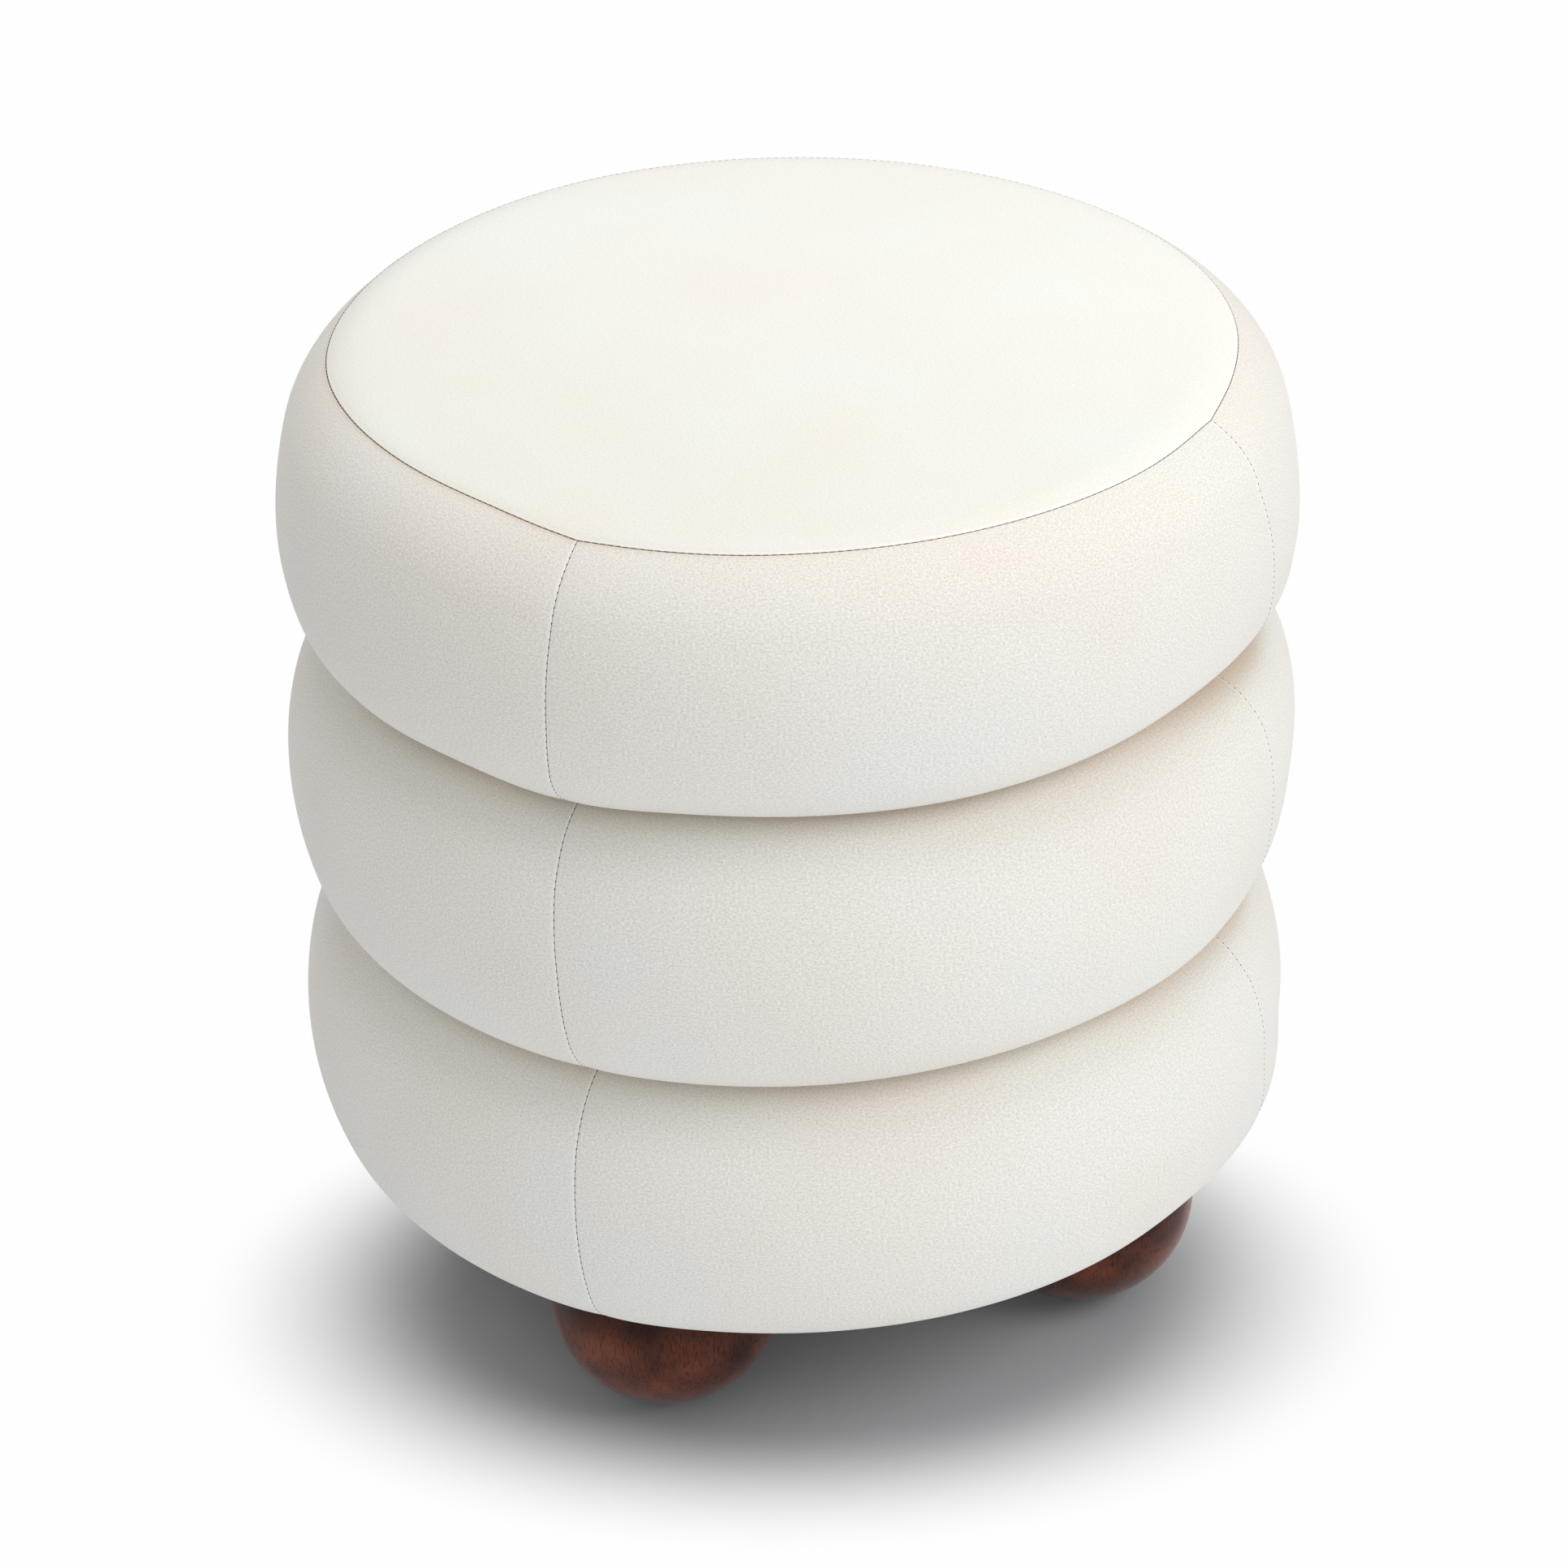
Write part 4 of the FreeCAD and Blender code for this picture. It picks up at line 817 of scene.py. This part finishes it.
# Stuffing under the velvet: wadding, foam rings and the seat pad, all clear of the cover and of the frame
stuffing = {"waddingTop": 2.4 * mm, "waddingFoot": 5.2 * mm, "foamTop": 5.9 * mm, "row": 7 * mm,
            "columns": 144, "foamInner": 160.4 * mm, "clear": 0.4 * mm, "waddingEnd": 3 * mm,
            "foamEnd": 2 * mm, "fill": 0.9}
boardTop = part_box("base_board")[1].z
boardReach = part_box("base_board")[1].x + stuffing["clear"]
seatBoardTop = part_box("seat_board")[1].z


def closedRing(name, roll, points, material):
    # each point is radius, height, length along the roll (below zero off the cover), and depth
    bm = spunSheet(points + points[:1], 45, 360, stuffing["columns"])
    bmesh.ops.remove_doubles(bm, verts=bm.verts, dist=0.001 * mm)
    bmesh.ops.recalc_face_normals(bm, faces=bm.faces)
    ring = finishPiece(name + "_stuffed", bm, material)
    mesh = ring.data
    s, depth, start = readLayer(mesh, "along"), readLayer(mesh, "deep"), readPoints(mesh)
    turn, reach = turnOf(start), np.hypot(start[:, 0], start[:, 1])
    place = settle(roll, turn, np.maximum(s, 0), depth)
    onCover = s >= 0
    writePoints(mesh, np.where(onCover, place[0], turn),
                np.where(reach < 0.01 * mm, 0, np.where(onCover, place[1], reach)),
                np.where(onCover, place[2], start[:, 2]))
    dropLayers(mesh)
    declare(ring, name)


def layer(roll, first, last, depth):
    rows = spacing(last - first, stuffing["row"], [stuffing["row"]]) + first
    radius, height = roll.point(rows)
    return [(r, z, s, depth) for r, z, s in zip(radius, height, rows)]


def lengthAtHeight(roll, height):
    return float(np.interp(-height, -roll.outline[:, 1], roll.lengths))


def stuffRolls():
    deep, inner, clear, end = (stuffing[key] for key in ("foamTop", "foamInner", "clear", "waddingEnd"))
    # the underside's stuffing ends at the base board's edge
    under = bottomRoll.whole - (boardReach - rolls["hem"]) - clear
    for name, roll, first, last in (("seat_wadding", topRoll, 0, topRoll.whole - end),
                                    ("middle_wadding", middleRoll, end, middleRoll.whole - end),
                                    ("bottom_wadding", bottomRoll, end, under)):
        outside = layer(roll, first, last, stuffing["waddingTop"])
        inside = layer(roll, first, last, stuffing["waddingFoot"])
        closedRing(name, roll, outside + inside[::-1], wadding)
    split = lengthAtHeight(topRoll, seatBoardTop)
    end = stuffing["foamEnd"]
    for name, roll, first, last, corners in (
            ("seat_foam_pad", topRoll, 0, split - clear,
             ((rolls["seatSeam"], seatBoardTop + clear), (0, seatBoardTop + clear))),
            ("top_foam_ring", topRoll, split + clear, topRoll.whole - end,
             ((inner, creaseHigh + deep + clear), (inner, seatBoardTop - clear),
              (rolls["seatSeam"], seatBoardTop - clear))),
            ("middle_foam_ring", middleRoll, end, middleRoll.whole - end,
             ((inner, creaseLow + deep + clear), (inner, creaseHigh - deep - clear))),
            ("bottom_foam_ring", bottomRoll, end, under,
             ((boardReach, boardTop + clear), (inner, boardTop + clear),
              (inner, creaseLow - deep - clear)))):
        # the corners against the frame are off the cover
        against = [(radius, height, -1.0, 0.0) for radius, height in corners]
        closedRing(name, roll, layer(roll, first, last, deep) + against, foam)


stuffRolls()
print("stuffed")

# Crease cords: three strands twisted, one turn of the lay every 20 mm
cord = {"strands": 3, "lay": 20 * mm, "around": 18, "along": 300, "groove": 0.16}


def creaseCord(name):
    low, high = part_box(name)
    thick, height = high.z - low.z, (low.z + high.z) / 2
    ringRadius = high.x - thick / 2
    bm = bmesh.new()
    section = bmesh.ops.create_circle(bm, segments=cord["around"], radius=thick / 2)
    bmesh.ops.rotate(bm, verts=bm.verts, cent=(0, 0, 0), matrix=Matrix.Rotation(math.pi / 2, 3, "X"))
    bmesh.ops.translate(bm, verts=bm.verts, vec=(ringRadius, 0, height))
    bmesh.ops.spin(bm, geom=section["verts"] + bm.edges[:], cent=(0, 0, 0), axis=(0, 0, 1), dvec=(0, 0, 0),
                   angle=2 * math.pi, steps=cord["along"], use_merge=True, use_duplicate=False)
    lays = round(2 * math.pi * ringRadius / cord["lay"])
    for vert in bm.verts:
        turn = math.atan2(vert.co.y, vert.co.x)
        middle = Vector((ringRadius * math.cos(turn), ringRadius * math.sin(turn), height))
        offset = vert.co - middle
        about = math.atan2(offset.z, offset.xy.dot(middle.xy.normalized()))
        strand = abs(math.cos(cord["strands"] / 2 * (about - lays * turn)))
        vert.co = middle + offset * (1 - cord["groove"] * (1 - strand))
    bmesh.ops.recalc_face_normals(bm, faces=bm.faces)
    declare(finishPiece(name + "_twisted", bm, cotton), name)


creaseCord("upper_crease_cord")
creaseCord("lower_crease_cord")


# Dust cover: a round cut of cloth, stapled up tight, slack in the middle and gathered at its edge
dust = {"rings": 22, "segments": 96, "slack": 0.6 * mm, "gather": 0.09 * mm, "gathers": 8, "from": 0.6,
        "thick": 0.4 * mm}


def dustCover():
    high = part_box("dust_cover")[1]
    reach = high.x
    bm = bmesh.new()
    bmesh.ops.create_circle(bm, cap_ends=True, segments=dust["segments"], radius=reach)
    for index in range(dust["rings"]):
        inmost = max(bm.faces, key=lambda face: len(face.verts))
        bmesh.ops.inset_region(bm, faces=[inmost], thickness=reach / (dust["rings"] + 1),
                               use_even_offset=False)
    bmesh.ops.poke(bm, faces=[max(bm.faces, key=lambda face: len(face.verts))])
    for vert in bm.verts:
        radius = vert.co.xy.length
        turn = math.atan2(vert.co.y, vert.co.x)
        slack = dust["slack"] * (1 - (radius / reach) ** 2)
        gather = dust["gather"] * math.cos(dust["gathers"] * turn)
        vert.co.z = (high.z - dust["thick"] / 2 - slack
                     - abs(gather * smoothStep(radius, dust["from"] * reach, reach)))
    bm.normal_update()
    if bm.faces[:][0].normal.z > 0:
        bmesh.ops.reverse_faces(bm, faces=bm.faces[:])
    cloth = finishPiece("dust_cover_cloth", bm, cambric)
    addThickness(cloth, dust["thick"], 0)
    declare(cloth, "dust_cover")


dustCover()
print("cords and dust cover made")

# Feet: turned balls, flat where they meet the base and the glide, with softened rims, and bored for the
# bolt and the glide's nail
foot = {"rim": 1.0 * mm, "rimOut": 0.7 * mm, "rimDown": 0.3 * mm, "segments": 128, "thinned": 3,
        "bolt": 4.1 * mm, "boltDeep": 37.4 * mm, "nail": 1.6 * mm, "nailDeep": 16.2 * mm, "sharp": 50}


def turnedFoot(name):
    low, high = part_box(name)
    radius = (high.x - low.x) / 2
    centre = Vector(((low.x + high.x) / 2, (low.y + high.y) / 2, 0))
    rim = foot["rim"]
    topTurn, lowTurn = (math.asin((height - radius) / radius) for height in (high.z - rim, low.z + rim))
    ball = arcPoints((0, radius), radius, topTurn, lowTurn)[::foot["thinned"]]
    topFlat = radius * math.cos(topTurn) - rim
    lowFlat = radius * math.cos(lowTurn) - rim
    outline = [(0, foot["boltDeep"]), (foot["bolt"], foot["boltDeep"]), (foot["bolt"], high.z),
               (topFlat, high.z), (topFlat + foot["rimOut"], high.z - foot["rimDown"])] + ball
    outline += [(lowFlat + foot["rimOut"], low.z + foot["rimDown"]), (lowFlat, low.z),
                (foot["nail"], low.z), (foot["nail"], foot["nailDeep"]), (0, foot["nailDeep"])]
    bm = spunSheet([(r, z, 0, 0) for r, z in outline], 0, 360, foot["segments"])
    bmesh.ops.remove_doubles(bm, verts=bm.verts, dist=0.001 * mm)
    bmesh.ops.translate(bm, verts=bm.verts, vec=centre)
    bmesh.ops.recalc_face_normals(bm, faces=bm.faces)
    piece = finishPiece(name + "_turned", bm, stainedWood)
    piece.data.set_sharp_from_angle(angle=math.radians(foot["sharp"]))
    dropLayers(piece.data)
    declare(piece, name)


corners = ("front_left", "front_right", "back_right", "back_left")
for corner in corners:
    turnedFoot("ball_foot_" + corner)
print("feet turned")

# The frame and the hardware keep their shapes and get their finishes
for material, names in (
        (plywood, ("seat_board", "base_board", "upper_hoop", "lower_hoop")),
        (pine, [side + "_post" for side in sides]),
        (hardboard, ("drum_wall",)),
        (zinc, ("frame_screws", "tee_nuts", "hanger_bolts", "hem_staples", "dust_cover_staples")),
        (nylon, ["glide_" + corner for corner in corners])):
    for name in names:
        for slot in nodes[name].material_slots:
            slot.material = material
print("frame finished")

# Pale studio: soft lamps, and a floor that keeps the ottoman's real shadow, deepened by a painted shadow,
# and runs out to white
studio = {
    "floor": 6.0, "squares": 24, "paint": "#F1F4F8", "rough": 0.9, "white": "#FEFEFE", "world": 0.54,
    # where the painted shadow lies: drawn forward, squashed along the line of sight, and its tone for the
    # camera
    "shadowTurn": 250.1, "forward": 65.5 * mm, "squash": 0.66, "fade": (154 * mm, 285 * mm),
    "tone": "#C0C1C4",
    # each lamp's place, target, size and power
    "lamps": {"overhead_softbox": ((0.1, 0.0, 2.3), (0, 0, 0.3), 1.7, 15),
              "right_softbox": ((1.506, -1.506, 1.741), (0, 0, 0.25), 1.4, 18.4),
              "front_softbox": ((-0.2, -2.6, 0.55), (0, 0, 0.25), 1.6, 9.5)},
}


def addLamp(name, place, target, size, power):
    light = bpy.data.lights.new(name, "AREA")
    light.shape = "DISK"
    light.size = size
    light.energy = power
    lamp = bpy.data.objects.new(name, light)
    lamp.location = place
    lamp.rotation_mode = "QUATERNION"
    lamp.rotation_quaternion = (Vector(target) - Vector(place)).to_track_quat("-Z", "Y")
    bpy.context.scene.collection.objects.link(lamp)


def buildFloor():
    bm = bmesh.new()
    bmesh.ops.create_grid(bm, x_segments=studio["squares"], y_segments=studio["squares"],
                          size=studio["floor"] / 2)
    mesh = bpy.data.meshes.new("floor")
    bm.to_mesh(mesh)
    bm.free()
    floor = bpy.data.objects.new("floor", mesh)
    bpy.context.scene.collection.objects.link(floor)
    material, tree, shader, place = newMaterial("matt_white_studio_floor", {
        "Roughness": studio["rough"], "Specular IOR Level": 0.0})
    mesh.materials.append(material)
    white = addNode(tree, "Emission", {"Color": linear(studio["white"]), "Strength": 1.0})
    turn = math.radians(studio["shadowTurn"])
    middle = (studio["forward"] * math.cos(turn), studio["forward"] * math.sin(turn), 0)
    centred = addNode(tree, "Mapping",
                      {"vector_type": "TEXTURE", "Rotation": (0, 0, turn),
                       "Scale": (studio["squash"], 1, 1), "Location": middle},
                      {"Vector": place})
    reach = addNode(tree, "VectorMath", {"operation": "LENGTH"}, {0: centred.outputs[0]})
    fade = addNode(tree, "MapRange",
                   {"interpolation_type": "SMOOTHSTEP", 1: studio["fade"][0], 2: studio["fade"][1]},
                   {0: reach.outputs["Value"]})
    path = addNode(tree, "LightPath")
    seen = addNode(tree, "Math", {"operation": "MAXIMUM"},
                   {0: path.outputs["Is Camera Ray"], 1: path.outputs["Is Glossy Ray"]})
    # painted shadow: the camera sees the floor in a darker tone, over the lamps' real shadow
    tone = addNode(tree, "Mix",
                   {"data_type": "RGBA", 6: linear(studio["paint"]), 7: linear(studio["tone"])},
                   {"Factor": path.outputs["Is Camera Ray"]})
    tree.links.new(tone.outputs[2], shader.inputs["Base Color"])
    share = addNode(tree, "Math", {"operation": "MULTIPLY"},
                    {0: fade.outputs[0], 1: seen.outputs[0]})
    mix = addNode(tree, "MixShader",
                  links={0: share.outputs[0], 1: shader.outputs[0], 2: white.outputs[0]})
    tree.links.new(mix.outputs[0], tree.nodes["Material Output"].inputs["Surface"])


def buildWorld():
    # an even grey glow on the ottoman, white behind it
    world = bpy.data.worlds.new("studio")
    bpy.context.scene.world = world
    world.use_nodes = True
    tree = world.node_tree
    tree.nodes.clear()
    path = addNode(tree, "LightPath")
    glow = addNode(tree, "Background", {"Color": linear("#FFFFFF"), "Strength": studio["world"]})
    white = addNode(tree, "Background", {"Color": linear(studio["white"]), "Strength": 1.0})
    seen = addNode(tree, "Math", {"operation": "MAXIMUM"},
                   {0: path.outputs["Is Camera Ray"], 1: path.outputs["Is Glossy Ray"]})
    mix = addNode(tree, "MixShader",
                  links={0: seen.outputs[0], 1: glow.outputs[0], 2: white.outputs[0]})
    addNode(tree, "OutputWorld", links={"Surface": mix.outputs[0]})


buildFloor()
buildWorld()
for name, lamp in studio["lamps"].items():
    addLamp(name, *lamp)

# The photograph's view: a long lens, a little above, turned to the left front
view = {"place": (-0.61180, -1.69008, 1.32432), "target": (-0.0029, -0.0002, 0.2365), "lens": 106.74,
        "sensor": 36, "roll": -1.334, "end": 30}
camera = bpy.data.objects.new("camera", bpy.data.cameras.new("camera"))
bpy.context.scene.collection.objects.link(camera)
camera.data.lens = view["lens"]
camera.data.sensor_width = view["sensor"]
camera.data.clip_end = view["end"]
sight = (Vector(view["target"]) - Vector(view["place"])).to_track_quat("-Z", "Y")
camera.rotation_mode = "QUATERNION"
camera.rotation_quaternion = sight @ Quaternion((0, 0, 1), math.radians(view["roll"]))
camera.location = view["place"]
bpy.context.scene.camera = camera
bpy.context.scene.view_settings.view_transform = "Standard"
print("studio and camera set")
